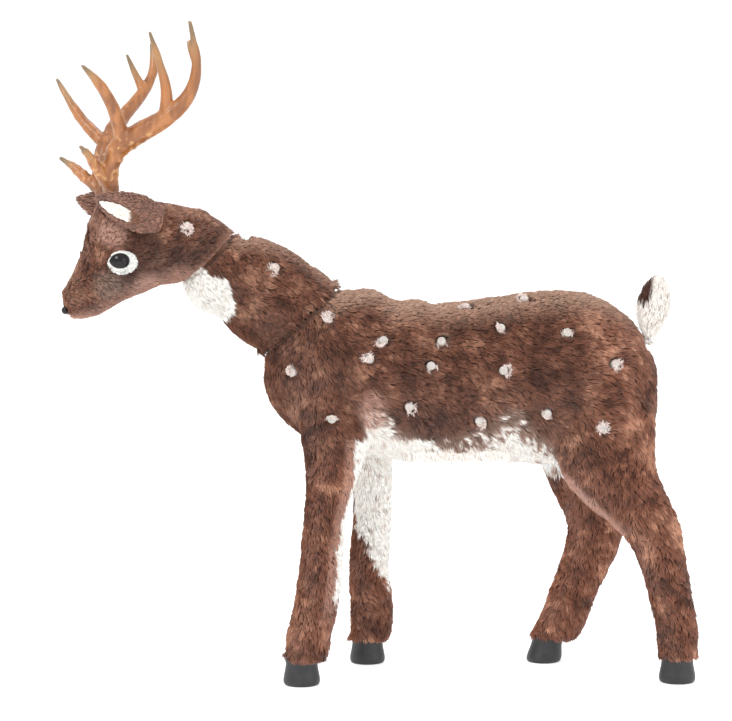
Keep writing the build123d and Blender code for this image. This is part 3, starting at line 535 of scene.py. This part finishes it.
def trimmed(points, mids, tips, inside):
    """How much of each tuft's length stays clear of a bare place: 0 is none."""
    scale = np.zeros(len(points))
    for share in (1.0, 0.78, 0.56, 0.38):
        middle = points + share * (mids - points)
        end = points + share * (tips - points)
        clear = ~inside(middle) & ~inside(end)
        scale = np.where((scale == 0.0) & clear, share, scale)
    scale[inside(points)] = 0.0
    return scale


def lamp_offset(ring, normals):
    """Distance from the nearest lamp cap's middle, measured along the hide."""
    index, distance = nearest(CAP_CENTRES, ring)
    offset = ring - np.array(CAP_CENTRES)[index]
    flat = offset - normals * np.sum(offset * normals, axis=1, keepdims=True)
    return np.where(distance < LAMP_REACH, np.linalg.norm(flat, axis=1), 1.0)


def grow_tufts(points, normals, style):
    """Rings and colours of tufts rooted at the given points."""
    count = len(points)
    direction = style["flow"](points, normals)
    swirl = np.column_stack([noise_at(points, 0.034, seed) for seed in (21, 22, 23)])
    fine = rng.normal(0.0, 1.0, (count, 3))
    direction = unit(direction) + swirl * style.get("swirl", 0.70) + fine * 0.14
    direction -= normals * np.sum(direction * normals, axis=1, keepdims=True)
    direction = unit(direction)
    long = style["length"] * rng.uniform(0.78, 1.15, count) * (1.0 + 0.20 * noise_at(points, 0.020, 24))
    if "boost" in style:
        long = long * style["boost"](points)
    rise = np.radians(style["lift"] + rng.normal(0.0, 7.0, count) + 10.0 * noise_at(points, 0.016, 25))
    first = direction * np.cos(rise)[:, None] + normals * np.sin(rise)[:, None]
    lay = rise * 0.30
    second = direction * np.cos(lay)[:, None] + normals * np.sin(lay)[:, None]
    mids = points + first * (long * 0.5)[:, None]
    tips = mids + second * (long * 0.5)[:, None]

    leaders = rng.choice(count, max(count // TUFTS_PER_CLUMP, 1), replace=False)
    index, distance = nearest(points[leaders].tolist(), points)
    pull = style.get("clump", 0.5) * (1.0 - smooth(distance, 0.003, 0.010))
    tips = mix(tips, tips[leaders][index], pull)
    mids = mix(mids, mids[leaders][index], pull * 0.35)
    clump_tone = rng.normal(0.0, 0.5, len(leaders))[index]

    bare = style.get("lamp_bare", LAMP_BARE)
    scale = trimmed(points, mids, tips, lambda ring: lamp_offset(ring, normals) < bare)
    for inside in style.get("bare", []):
        scale = np.minimum(scale, trimmed(points, mids, tips, inside))
    mids = points + (mids - points) * scale[:, None]
    tips = points + (tips - points) * scale[:, None]
    keep = scale > 0.0
    points, normals, mids, tips, direction, clump_tone = (
        values[keep] for values in (points, normals, mids, tips, direction, clump_tone))
    base = style["paint"](points, normals, clump_tone)
    shade = 1.0 + rng.normal(0.0, 0.07, len(points))
    base = base * np.clip(shade, 0.75, 1.25)[:, None]
    pale = smooth(base.mean(axis=1), 0.25, 0.6)
    # roots painted darker as painted shade deep in the pile, tips painted lighter as painted light; pale fur gets
    # less of both
    root_painted_shade = (0.68 + 0.32 * pale)[:, None]
    tip_painted_light = (1.24 - 0.20 * pale)[:, None]
    colours = np.stack([base * root_painted_shade] * 3 + [base] * 3 + [base * tip_painted_light], axis=1)
    side = unit(np.cross(direction, normals))
    up = unit(np.cross(side, unit(tips - points)))
    widths = style["width"] * rng.uniform(0.8, 1.2, len(points))
    return (points, mids, tips, widths, side, up), np.clip(colours, 0.0, 0.95)


def split_pieces(name, rings, colours, body, material):
    """Writes tufts as pieces of limited size, cut along the longest side."""
    order = np.argsort(rings[0][:, int(np.argmax(np.ptp(rings[0], axis=0)))], kind="stable")
    parts = max(1, math.ceil(len(order) / TUFTS_PER_PIECE))
    for number, chosen in enumerate(np.array_split(order, parts), 1):
        piece_name = name if parts == 1 else f"{name}_{number}"
        piece = tuft_mesh(piece_name, [ring[chosen] for ring in rings], colours[chosen])
        piece.data.materials.append(material)
        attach(piece, body)


def plant(name, points, normals, style, body, fur):
    """Grows tufts at the given points and writes them as pieces of one body."""
    rings, colours = grow_tufts(points, normals, style)
    split_pieces(name, rings, colours, body, fur)


def thinning():
    return 1


# ---- materials ----------------------------------------------------------------------
def new_material(name, **values):
    material = bpy.data.materials.new(name)
    material.use_nodes = True
    shader = material.node_tree.nodes["Principled BSDF"]
    for key, value in values.items():
        shader.inputs[key.replace("_", " ")].default_value = value
    return material, material.node_tree, shader


def noise_texture(tree, scale, detail):
    coordinates = tree.nodes.new("ShaderNodeTexCoord")
    texture = tree.nodes.new("ShaderNodeTexNoise")
    texture.inputs["Scale"].default_value = scale
    texture.inputs["Detail"].default_value = detail
    tree.links.new(coordinates.outputs["Object"], texture.inputs["Vector"])
    return texture


def coat_colour(tree, shader):
    """Base colour from the vertices' own colours."""
    colour = tree.nodes.new("ShaderNodeVertexColor")
    colour.layer_name = "Coat"
    tree.links.new(colour.outputs["Color"], shader.inputs["Base Color"])
    return colour


def fur_material(name, sheen):
    material, tree, shader = new_material(name, Roughness=0.78, Sheen_Weight=sheen, Sheen_Roughness=0.45)
    shader.inputs["Specular IOR Level"].default_value = 0.22
    shader.inputs["Sheen Tint"].default_value = (1.0, 0.93, 0.88, 1.0)
    colour = coat_colour(tree, shader)
    tree.links.new(colour.outputs["Color"], shader.inputs["Emission Color"])
    shader.inputs["Emission Strength"].default_value = FUR_GLOW
    return material


def noise_colour(tree, shader, scale, low, high):
    """Base colour that varies between two colours."""
    texture = noise_texture(tree, scale, 4.0)
    ramp = tree.nodes.new("ShaderNodeValToRGB")
    ramp.color_ramp.elements[0].color = (*low, 1.0)
    ramp.color_ramp.elements[0].position = 0.35
    ramp.color_ramp.elements[1].color = (*high, 1.0)
    ramp.color_ramp.elements[1].position = 0.65
    tree.links.new(texture.outputs["Fac"], ramp.inputs["Fac"])
    tree.links.new(ramp.outputs["Color"], shader.inputs["Base Color"])


def add_bump(tree, shader, scale, strength, distance):
    texture = noise_texture(tree, scale, 5.0)
    bump = tree.nodes.new("ShaderNodeBump")
    bump.inputs["Strength"].default_value = strength
    bump.inputs["Distance"].default_value = distance
    tree.links.new(texture.outputs["Fac"], bump.inputs["Height"])
    tree.links.new(bump.outputs["Normal"], shader.inputs["Normal"])


def plain_material(name, low, high, scale, roughness, bump=0.0, metallic=0.0):
    material, tree, shader = new_material(name, Roughness=roughness, Metallic=metallic)
    noise_colour(tree, shader, scale, low, high)
    if bump:
        add_bump(tree, shader, scale * 6, bump, 0.0006)
    return material


def give(node, material):
    """A CAD node keeps its shape and gets a better material."""
    mesh = NODES[node].data
    mesh.materials.clear()
    mesh.materials.append(material)


def antler_material():
    material, tree, shader = new_material("antler_resin", Roughness=0.42)
    shader.inputs["Specular IOR Level"].default_value = 0.5
    shader.inputs["Coat Weight"].default_value = 0.25
    shader.inputs["Coat Roughness"].default_value = 0.25
    coat_colour(tree, shader)
    add_bump(tree, shader, 260.0, 0.25, 0.0008)
    return material


# ---- antlers ------------------------------------------------------------------------
TAN = srgb(160, 102, 54)
AMBER = srgb(128, 76, 36)
OLIVE = srgb(96, 86, 64)
TINE = srgb(150, 116, 76)
BONE = srgb(198, 150, 98)


def local_thickness(vertices, faces, points, normals):
    """How thick the solid is under each point, averaged over a few millimetres."""
    tree = BVHTree.FromPolygons(vertices, faces)
    depth = []
    for point, normal in zip(points.tolist(), normals.tolist()):
        start = Vector(point) - Vector(normal) * 0.0004
        hit = tree.ray_cast(start, -Vector(normal))
        depth.append(min(hit[3], 0.04) if hit[0] is not None else 0.0)
    depth = np.array(depth)
    finder = point_tree(points.tolist())
    near = [[found[1] for found in finder.find_n(point, ANTLER_NEIGHBOURS)] for point in points.tolist()]
    return np.array([depth[indices].mean() for indices in near])


def build_antler(word, material):
    """Moulded antler: grain along the beam, pearling near the burr, olive tips."""
    node = "antler_" + word
    piece = remeshed("moulded_" + node, [node], 0.0013, 4)
    mesh = piece.data
    co, normal = vertex_arrays(mesh)
    z = co[:, 2]
    faces = [tuple(polygon.vertices) for polygon in mesh.polygons]
    thick = local_thickness([tuple(v) for v in co.tolist()], faces, co, normal)
    above = smooth(z, 0.672, 0.690)
    pearls = np.maximum(noise_at(co, 0.0060, 31), 0.0) * (1.0 - smooth(z, 0.735, 0.800))
    grooves = noise_at(co * np.array([1.0, 1.0, 0.22]), 0.0065, 32)
    lumps = noise_at(co, 0.026, 33)
    rise = above * (0.0020 * pearls + 0.0006 * grooves * smooth(thick, 0.004, 0.012) + 0.0010 * lumps)
    co = co + normal * rise[:, None]
    mesh.vertices.foreach_set("co", co.astype(np.float32).ravel())
    colour = mix(AMBER, TAN, smooth(0.5 + 0.45 * grooves + 0.6 * lumps, 0.15, 0.8))
    colour = mix(colour, BONE, 0.60 * smooth(pearls, 0.15, 0.5))
    colour = mix(colour, AMBER * 0.6, 0.45 * smooth(-grooves, 0.25, 0.7))
    colour = mix(colour, TINE, 0.65 * (1.0 - smooth(thick + 0.002 * lumps, 0.0085, 0.0140)))
    colour = mix(colour, OLIVE, 0.75 * (1.0 - smooth(thick + 0.002 * lumps, 0.0045, 0.0095)))
    colour = mix(colour, AMBER * 0.55, 0.7 * (1.0 - smooth(z, 0.676, 0.700)))
    set_colours(mesh, colour)
    mesh.materials.append(material)
    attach(piece, node)
    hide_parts(node)


# ---- build --------------------------------------------------------------------------
rng = np.random.default_rng(SEED)


def seam_offsets():
    """The neck cover's points, from the swivel, that are far from its axis."""
    centre, axis = Vector(JOINTS["neck_swivel"]["pos_m"]), Vector(JOINTS["neck_swivel"]["axis"])
    offsets = [vertex.co - centre for vertex in NODES["neck_cover"].data.vertices]
    return [offset for offset in offsets if (offset - axis * offset.dot(axis)).length > SEAM_HOLE]


SEAM_LEVEL = min(offset.dot(Vector(JOINTS["neck_swivel"]["axis"])) for offset in seam_offsets())


def leg_profile(name, level):
    """Centre and half length along x of a leg cover at a height, in the stance frame."""
    co = np.array([v.co[:] for v in NODES["leg_cover_" + name].data.vertices]) - np.array(STANCE)
    band = co[np.abs(co[:, 2] - level) < 0.022]
    return (band[:, 0].min() + band[:, 0].max()) / 2, (band[:, 0].max() - band[:, 0].min()) / 2


LEG_LEVELS = [0.05, 0.10, 0.15, 0.20, 0.25, 0.29]
LEG_ROWS = {name: [leg_profile(name, level) for level in LEG_LEVELS] for name in LEGS}


def leg_centre(name, z):
    """Centre and half length along x of a leg cover, at any heights."""
    return [np.interp(z, LEG_LEVELS, values) for values in zip(*LEG_ROWS[name])]


def loose_centres(node):
    """Middle of each separate solid of a node."""
    mesh = NODES[node].data
    parent = list(range(len(mesh.vertices)))
    places = {}
    for index, vertex in enumerate(mesh.vertices):
        key = tuple(round(c, 5) for c in vertex.co)
        parent[index] = places.setdefault(key, index)

    def root(i):
        while parent[i] != i:
            parent[i] = parent[parent[i]]
            i = parent[i]
        return i

    for edge in mesh.edges:
        a, b = (root(i) for i in edge.vertices)
        if a != b:
            parent[a] = b
    groups = {}
    for index, vertex in enumerate(mesh.vertices):
        groups.setdefault(root(index), []).append(vertex.co)
    return [sum(group, Vector()) / len(group) for group in groups.values()]


CAP_NODES = ("led_caps_body", "led_caps_neck", "led_caps_head")
CAP_CENTRES = [centre for node in CAP_NODES for centre in loose_centres(node)]
EYES = {word: to_head(np.array([(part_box("eye_" + word)[0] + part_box("eye_" + word)[1]) / 2]))
        for word in ("left", "right")}


def eye_patch(ring):
    """Whether points are in the white patch round either eye."""
    forward, side, z = to_head(ring)
    result = np.zeros(len(ring), bool)
    for middle_f, middle_s, middle_z in EYES.values():
        across = (forward - middle_f - PATCH_SHIFT[0]) / PATCH_HALF[0]
        rise = (z - middle_z - PATCH_SHIFT[1]) / PATCH_HALF[1]
        limit = 0.90 + 0.10 * noise_at(ring, 0.0045, 31) - 0.14 * smooth(rise, 0.3, 0.9)
        result |= (np.hypot(across, rise) < limit) & (side * middle_s > 0.0)
    return result


def below_fur(ring):
    return ring[:, 2] < FUR_FOOT


COVERS = [name for name in NODES
          if name.endswith("_cover") or "_cover_" in name or name.startswith("ear_")]


def build_coat(name, nodes, body, fur, style):
    """Hide and tufts that stand for some of the fur covers of one body."""
    solids = nodes + style.get("fill", [])
    hide = remeshed("hide_" + name, solids, style.get("voxel", 0.0045), style.get("rounds", 6))
    mesh = hide.data
    outside = outside_faces(mesh, scene_tree(nodes))
    co, normals = vertex_arrays(mesh)
    sunk = np.zeros(len(co), bool)
    for polygon in mesh.polygons:
        if outside[polygon.index]:
            sunk[list(polygon.vertices)] = True
    hardware = scene_tree(nodes + COVERS)
    for index in np.nonzero(sunk)[0]:
        sink = style.get("sink", HIDE_SINK)
        hit = hardware.ray_cast(Vector(co[index]), -Vector(normals[index]), sink + HARDWARE_ROOM)
        if hit[0] is not None:
            sink = max(hit[3] - HARDWARE_ROOM, 0.0)
        co[index] -= normals[index] * sink
    mesh.vertices.foreach_set("co", co.astype(np.float32).ravel())
    mesh.update()
    base = style["paint"](co, normals, np.zeros(len(co)))
    # the hide is painted darker than its tufts, less so under pale fur: painted shade under the pile
    set_colours(mesh, base * (0.72 + 0.24 * smooth(base.mean(axis=1), 0.25, 0.6))[:, None])
    mesh.materials.append(fur)
    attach(hide, body)
    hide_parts(*nodes)
    area_each = TUFT_AREA * style.get("area", 1.0) * thinning()
    points, point_normals = sample_faces(mesh, outside, area_each)
    style = dict(style, width=style["width"] * math.sqrt(thinning()))
    plant("fur_" + name, points, point_normals, style, body, fur)
    if "lamps" in style:
        lamp_pile(style["lamps"], mesh, body)


def lamp_pile(node, mesh, body):
    """A ring of short white pile round each lamp cap, which softens its edge."""
    skin = mesh_tree(mesh)
    points, normals, spread = [], [], []
    for centre in loose_centres(node):
        place, normal = skin.find_nearest(centre)[:2]
        side = normal.orthogonal().normalized()
        upright = normal.cross(side)
        for _ in range(LAMP_TUFTS):
            angle, reach = rng.uniform(0.0, math.tau), rng.uniform(*LAMP_PILE)
            out = side * math.cos(angle) + upright * math.sin(angle)
            points.append((place + out * reach)[:])
            normals.append(normal[:])
            sway = out * rng.uniform(-1.0, 0.6)
            spread.append((sway + side * rng.normal(0.0, 0.4) + upright * rng.normal(0.0, 0.4))[:])
    spread = np.array(spread)
    style = {"flow": lambda p, n: spread, "paint": paint_lamp, "length": 0.0085, "width": 0.0013,
             "lift": 72.0, "swirl": 0.1, "clump": 0.0, "lamp_bare": 0.0}
    plant("lamp_pile_" + body, np.array(points), np.array(normals), style, body, white_fur)


brown_fur = fur_material("brown_fur", 0.18)
white_fur = fur_material("white_fur", 0.12)

BODY_STYLE = {"flow": flow_body, "paint": paint_body, "length": 0.0125, "width": 0.0015, "lift": 46.0,
              "bare": [below_fur], "lamps": "led_caps_body"}
NECK_STYLE = {"flow": flow_neck, "paint": paint_neck, "length": 0.0125, "width": 0.0015, "lift": 46.0,
              "boost": seam_boost, "lamps": "led_caps_neck"}
HEAD_STYLE = {"flow": flow_head, "paint": paint_head, "length": 0.0085, "width": 0.0013, "lift": 42.0,
              "bare": [eye_patch], "voxel": 0.0040, "sink": 0.003, "area": 0.75, "fill": ["head_frame"],
              "lamps": "led_caps_head"}
EAR_STYLE = {"flow": flow_ear, "paint": paint_ear, "length": 0.0075, "width": 0.0013, "lift": 34.0,
             "voxel": 0.0022, "sink": 0.0015, "area": 0.8}
LINING_STYLE = {"flow": flow_ear, "paint": paint_ear_lining, "length": 0.0050, "width": 0.0012, "lift": 22.0,
                "voxel": 0.0015, "rounds": 2, "sink": 0.0, "area": 0.7}
TAIL_STYLE = {"flow": flow_tail, "paint": paint_tail, "length": 0.0140, "width": 0.0014, "lift": 36.0,
              "voxel": 0.0030, "sink": 0.003, "area": 0.8}

BODY_COVERS = ["torso_cover"] + ["leg_cover_" + leg for leg in LEGS]
build_coat("body", BODY_COVERS, "torso", brown_fur, BODY_STYLE)
build_coat("neck", ["neck_cover"], "neck", brown_fur, NECK_STYLE)
build_coat("head", ["head_cover"], "head", brown_fur, HEAD_STYLE)
for word in ("left", "right"):
    build_coat("ear_" + word, ["ear_" + word], "head", brown_fur, EAR_STYLE)
    build_coat("ear_lining_" + word, ["ear_lining_" + word], "head", white_fur, LINING_STYLE)
build_coat("tail", ["tail_cover"], "tail", white_fur, TAIL_STYLE)


def patch_point(word, share, angle):
    """Forward and z from the bare eye's edge, at share 0, to the white patch's edge, at share 1."""
    middle_f, middle_s, middle_z = (value[0] for value in EYES[word])
    turn = (math.cos(angle), math.sin(angle))
    inner = (shift + half * t for shift, half, t in zip(IRIS_SHIFT, IRIS_HALF, turn))
    outer = (shift + half * t for shift, half, t in zip(PATCH_SHIFT, PATCH_HALF, turn))
    forward, up = (a * (1.0 - share) + b * share for a, b in zip(inner, outer))
    return middle_f + forward, middle_z + up


def onto_head(word, tree, forward, z):
    """Where a line from the side meets the head or the eye: the point and the normal."""
    outward = head_direction(0.0, math.copysign(1.0, EYES[word][1][0]), 0.0)
    place = np.array(HEAD_PIVOT) + head_direction(forward, 0.0, 0.0) + outward * 0.12
    place[2] = z
    hit = tree.ray_cast(Vector(place), -Vector(outward))
    return hit[0], hit[1]


def eye_felt():
    """White felt patch round each eye, in place of the plain rings."""
    vertices, faces = [], []
    for word in EYES:
        tree = BVHTree.FromPolygons(*node_arrays(["head_cover", "eye_" + word]))
        base = len(vertices)
        for row in range(FELT_ROWS):
            for step in range(FELT_STEPS):
                place = patch_point(word, row / (FELT_ROWS - 1), math.tau * step / FELT_STEPS)
                point, normal = onto_head(word, tree, *place)
                vertices.append(point + normal * FELT_RISE)
                vertices.append(point - normal * FELT_RISE * 3.0)
        flip = EYES[word][1][0] > 0.0
        for row in range(FELT_ROWS):
            for step in range(FELT_STEPS):
                after = (step + 1) % FELT_STEPS
                a, b = base + 2 * (row * FELT_STEPS + step), base + 2 * (row * FELT_STEPS + after)
                quads = []
                if row < FELT_ROWS - 1:
                    c, d = b + 2 * FELT_STEPS, a + 2 * FELT_STEPS
                    quads += [(a, b, c, d), (d + 1, c + 1, b + 1, a + 1)]
                if row == 0:
                    quads.append((a + 1, b + 1, b, a))
                if row == FELT_ROWS - 1:
                    quads.append((a, b, b + 1, a + 1))
                faces += [quad[::-1] if flip else quad for quad in quads]
    mesh = bpy.data.meshes.new("eye_felt")
    mesh.from_pydata(vertices, [], faces)
    for polygon in mesh.polygons:
        polygon.use_smooth = True
    felt = plain_material("felt", (0.46, 0.47, 0.45), (0.60, 0.61, 0.59), 300.0, 0.95, 0.5)
    mesh.materials.append(felt)
    piece = new_piece("eye_felt", mesh)
    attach(piece, "head")
    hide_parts("eye_rings")


def eye_pile(word):
    """Short white pile on the felt patch, combed away from the eye."""
    tree = BVHTree.FromPolygons(*node_arrays(["head_cover", "eye_" + word]))
    points, normals, spread = [], [], []
    for _ in range(EYE_TUFTS):
        share, angle = rng.uniform(0.02, 0.94), rng.uniform(0.0, math.tau)
        point, normal = onto_head(word, tree, *patch_point(word, share, angle))
        near, far = patch_point(word, 0.0, angle), patch_point(word, 1.0, angle)
        points.append(point[:])
        normals.append(normal[:])
        spread.append(head_direction(far[0] - near[0], 0.0, far[1] - near[1]))
    spread = np.array(spread)
    style = {"flow": lambda p, n: spread, "paint": paint_eye, "length": 0.0042, "width": 0.0011,
             "lift": 34.0, "swirl": 0.35, "clump": 0.3}
    plant("eye_pile_" + word, np.array(points), np.array(normals), style, "head", white_fur)


eye_felt()
for word in ("left", "right"):
    eye_pile(word)


def door_pile():
    """White pile glued under the battery door, so the belly's fur runs across it."""
    low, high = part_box("battery_door")
    count = int((high[0] - low[0]) * (high[1] - low[1]) / (TUFT_AREA * thinning()))
    x = rng.uniform(low[0] + 0.004, high[0], count)
    y = rng.uniform(low[1], high[1], count)
    points = np.column_stack([x, y, np.full(count, low[2])])
    normals = np.tile([0.0, 0.0, -1.0], (count, 1))
    screw = np.array([high[0] - DOOR_SCREW_INSET, (low[1] + high[1]) / 2, low[2]])

    def over_screw(ring):
        return np.linalg.norm((ring - screw)[:, :2], axis=1) < DOOR_SCREW_BARE

    style = {"flow": flow_door, "paint": paint_lining, "length": 0.0120, "width": 0.0016, "lift": 30.0,
             "bare": [over_screw]}
    plant("fur_door", points, normals, style, "battery_door", white_fur)


def box_fringe():
    """White pile on the battery box's sides, which hangs over the gap round the door."""
    low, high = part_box("battery_box")
    high[0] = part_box("switch_housing")[1][0] + 0.004
    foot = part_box("battery_door")[0][2]
    count = FRINGE_TUFTS // thinning()
    sides = [((0.0, -1.0, 0.0), (low[0], low[1], high[0], low[1])),
             ((0.0, 1.0, 0.0), (low[0], high[1], high[0], high[1])),
             ((-1.0, 0.0, 0.0), (low[0], low[1], low[0], high[1])),
             ((1.0, 0.0, 0.0), (high[0], low[1], high[0], high[1]))]
    points, normals = [], []
    for normal, (x0, y0, x1, y1) in sides:
        along = rng.random(count)
        rise = rng.uniform(0.002, 0.016, count)
        points.append(np.column_stack([x0 + (x1 - x0) * along, y0 + (y1 - y0) * along, foot + rise]))
        normals.append(np.tile(normal, (count, 1)))
    style = {"flow": flow_fringe, "paint": paint_lining, "length": 0.0105, "width": 0.0017, "lift": 42.0}
    points, normals = np.concatenate(points), np.concatenate(normals)
    plant("fur_box", points, normals, style, "torso", white_fur)


door_pile()
box_fringe()


def seam_shade_sheet():
    """Dark sheet of painted shade between the neck's and the torso's covers, so no light shows through the seam.
    """
    centre = Vector(JOINTS["neck_swivel"]["pos_m"])
    axis = Vector(JOINTS["neck_swivel"]["axis"])
    across = axis.orthogonal().normalized()
    upright = axis.cross(across)
    rim = {}
    for offset in seam_offsets():
        if offset.dot(axis) < SEAM_LEVEL + 0.001:
            u, v = offset.dot(across), offset.dot(upright)
            rim[round(math.atan2(v, u), 2)] = (u, v)
    outline = [rim[angle] for angle in sorted(rim)]
    vertices, faces = [], []
    (inner, outer), (bottom, top) = SEAM_SHARES, SEAM_HEIGHTS
    for u, v in outline:
        for share, height in ((outer, top), (outer, bottom), (inner, bottom), (inner, top)):
            out = across * u * share + upright * v * share
            vertices.append(centre + out + axis * (SEAM_LEVEL + height))
    for step in range(len(outline)):
        after = (step + 1) % len(outline)
        for ring in range(4):
            a, b = 4 * step + ring, 4 * step + (ring + 1) % 4
            faces.append((a, b, 4 * after + (ring + 1) % 4, 4 * after + ring))
    mesh = bpy.data.meshes.new("seam_shade_sheet")
    mesh.from_pydata(vertices, [], faces)
    # painted shade: near-black colour of the sheet that stands for the seam's shadow
    felt = plain_material("seam_shade_sheet", (0.030, 0.014, 0.009), (0.060, 0.030, 0.020), 300.0, 0.95, 0.4)
    mesh.materials.append(felt)
    piece = new_piece("seam_shade_sheet", mesh)
    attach(piece, "torso")


seam_shade_sheet()

resin = antler_material()
for word in ("left", "right"):
    build_antler(word, resin)

hoof_plastic = plain_material("hoof_plastic", (0.010, 0.010, 0.011), (0.018, 0.018, 0.020), 90.0, 0.45, 0.12)
for leg in LEGS:
    hoof = remeshed("moulded_hoof_" + leg, ["hoof_" + leg], 0.0014, 8)
    hoof.data.materials.append(hoof_plastic)
    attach(hoof, "torso")
    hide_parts("hoof_" + leg)

eye_gloss, tree, shader = new_material("eye_gloss", Roughness=0.05)
shader.inputs["Specular IOR Level"].default_value = 0.28
noise_colour(tree, shader, 60.0, (0.004, 0.004, 0.004), (0.012, 0.009, 0.008))
for node in ("eye_left", "eye_right", "nose"):
    give(node, eye_gloss)

cap_frost, tree, shader = new_material("cap_frost", Roughness=0.35, Subsurface_Weight=0.3)
shader.inputs["Emission Color"].default_value = (1.0, 0.92, 0.88, 1.0)
shader.inputs["Emission Strength"].default_value = 0.03
noise_colour(tree, shader, 120.0, (0.37, 0.32, 0.30), (0.49, 0.43, 0.40))
for node in CAP_NODES:
    give(node, cap_frost)

BY_SLOT = {
    "frame_steel": plain_material("frame_paint", (0.06, 0.06, 0.065), (0.09, 0.09, 0.095), 40.0, 0.45, 0.2),
    "fasteners": plain_material("zinc", (0.50, 0.50, 0.52), (0.62, 0.62, 0.64), 60.0, 0.35, 0.1, 1.0),
    "case_plastic": plain_material("case_plastic", (0.035, 0.035, 0.038), (0.05, 0.05, 0.053), 200.0, 0.55, 0.3),
    "bushing": plain_material("nylon", (0.72, 0.71, 0.66), (0.80, 0.79, 0.74), 60.0, 0.5),
    "board": plain_material("board_green", (0.02, 0.16, 0.06), (0.03, 0.22, 0.08), 150.0, 0.4),
    "cell": plain_material("cell_jacket", (0.06, 0.14, 0.09), (0.08, 0.18, 0.12), 80.0, 0.3),
    "wire": plain_material("wire_green", (0.02, 0.07, 0.03), (0.03, 0.09, 0.04), 80.0, 0.6),
    "led_bulb": plain_material("bulb_lens", (0.80, 0.78, 0.66), (0.90, 0.88, 0.78), 80.0, 0.15),
}
for entry in frame["record"]["subparts"]:
    if entry["material_slot"] in BY_SLOT:
        give(entry["node"], BY_SLOT[entry["material_slot"]])
socket_paint = plain_material("socket_paint", (0.17, 0.085, 0.06), (0.25, 0.13, 0.095), 120.0, 0.8, 0.3)
give("antler_sockets", socket_paint)

# ---- stage --------------------------------------------------------------------------
floor_mesh = bpy.data.meshes.new("floor")
corners = [(x * FLOOR_HALF, y * FLOOR_HALF, 0) for x, y in ((-1, -1), (1, -1), (1, 1), (-1, 1))]
floor_mesh.from_pydata(corners, [], [(0, 1, 2, 3)])
floor = new_piece("floor", floor_mesh)
floor_mat, tree, shader = new_material("floor_white", Roughness=0.9)
shader.inputs["Base Color"].default_value = (0.90, 0.90, 0.90, 1.0)
shader.inputs["Specular IOR Level"].default_value = 0.0
shader.inputs["Emission Color"].default_value = (1.0, 1.0, 1.0, 1.0)
shader.inputs["Emission Strength"].default_value = 0.45
floor_mesh.materials.append(floor_mat)

world = bpy.data.worlds.new("studio")
bpy.context.scene.world = world
world.use_nodes = True
world.node_tree.nodes["Background"].inputs["Color"].default_value = (1.0, 1.0, 1.0, 1.0)
world.node_tree.nodes["Background"].inputs["Strength"].default_value = 1.12


def area_light(name, place, target, size, power):
    data = bpy.data.lights.new(name, "AREA")
    data.shape = "DISK"
    data.size = size
    data.energy = power
    light = new_piece(name, data)
    light.location = place
    light.rotation_euler = (Vector(target) - Vector(place)).to_track_quat("-Z", "Y").to_euler()


MIDDLE = (0.0, 0.0, 0.45)
area_light("key", (-1.6, -2.2, 2.3), MIDDLE, 1.4, 42.0)
area_light("fill", (2.2, -2.0, 1.2), MIDDLE, 1.8, 14.0)
area_light("top", (0.3, 0.6, 2.8), MIDDLE, 1.6, 22.0)

# ---- camera: the left flank, seen a little from the front and above --------------------
CAMERA_PLACE = Vector((-0.11296, -2.81956, 0.66704)) + STANCE
CAMERA_AIM = Vector((-0.0145, 0.0, 0.445)) + STANCE
camera_data = bpy.data.cameras.new("camera")
camera_data.lens = 99.2
camera_data.sensor_width = 36.0
camera = new_piece("camera", camera_data)
camera.location = CAMERA_PLACE
camera.rotation_euler = (CAMERA_AIM - CAMERA_PLACE).to_track_quat("-Z", "Y").to_euler()
bpy.context.scene.camera = camera
bpy.context.scene.view_settings.view_transform = "Standard"
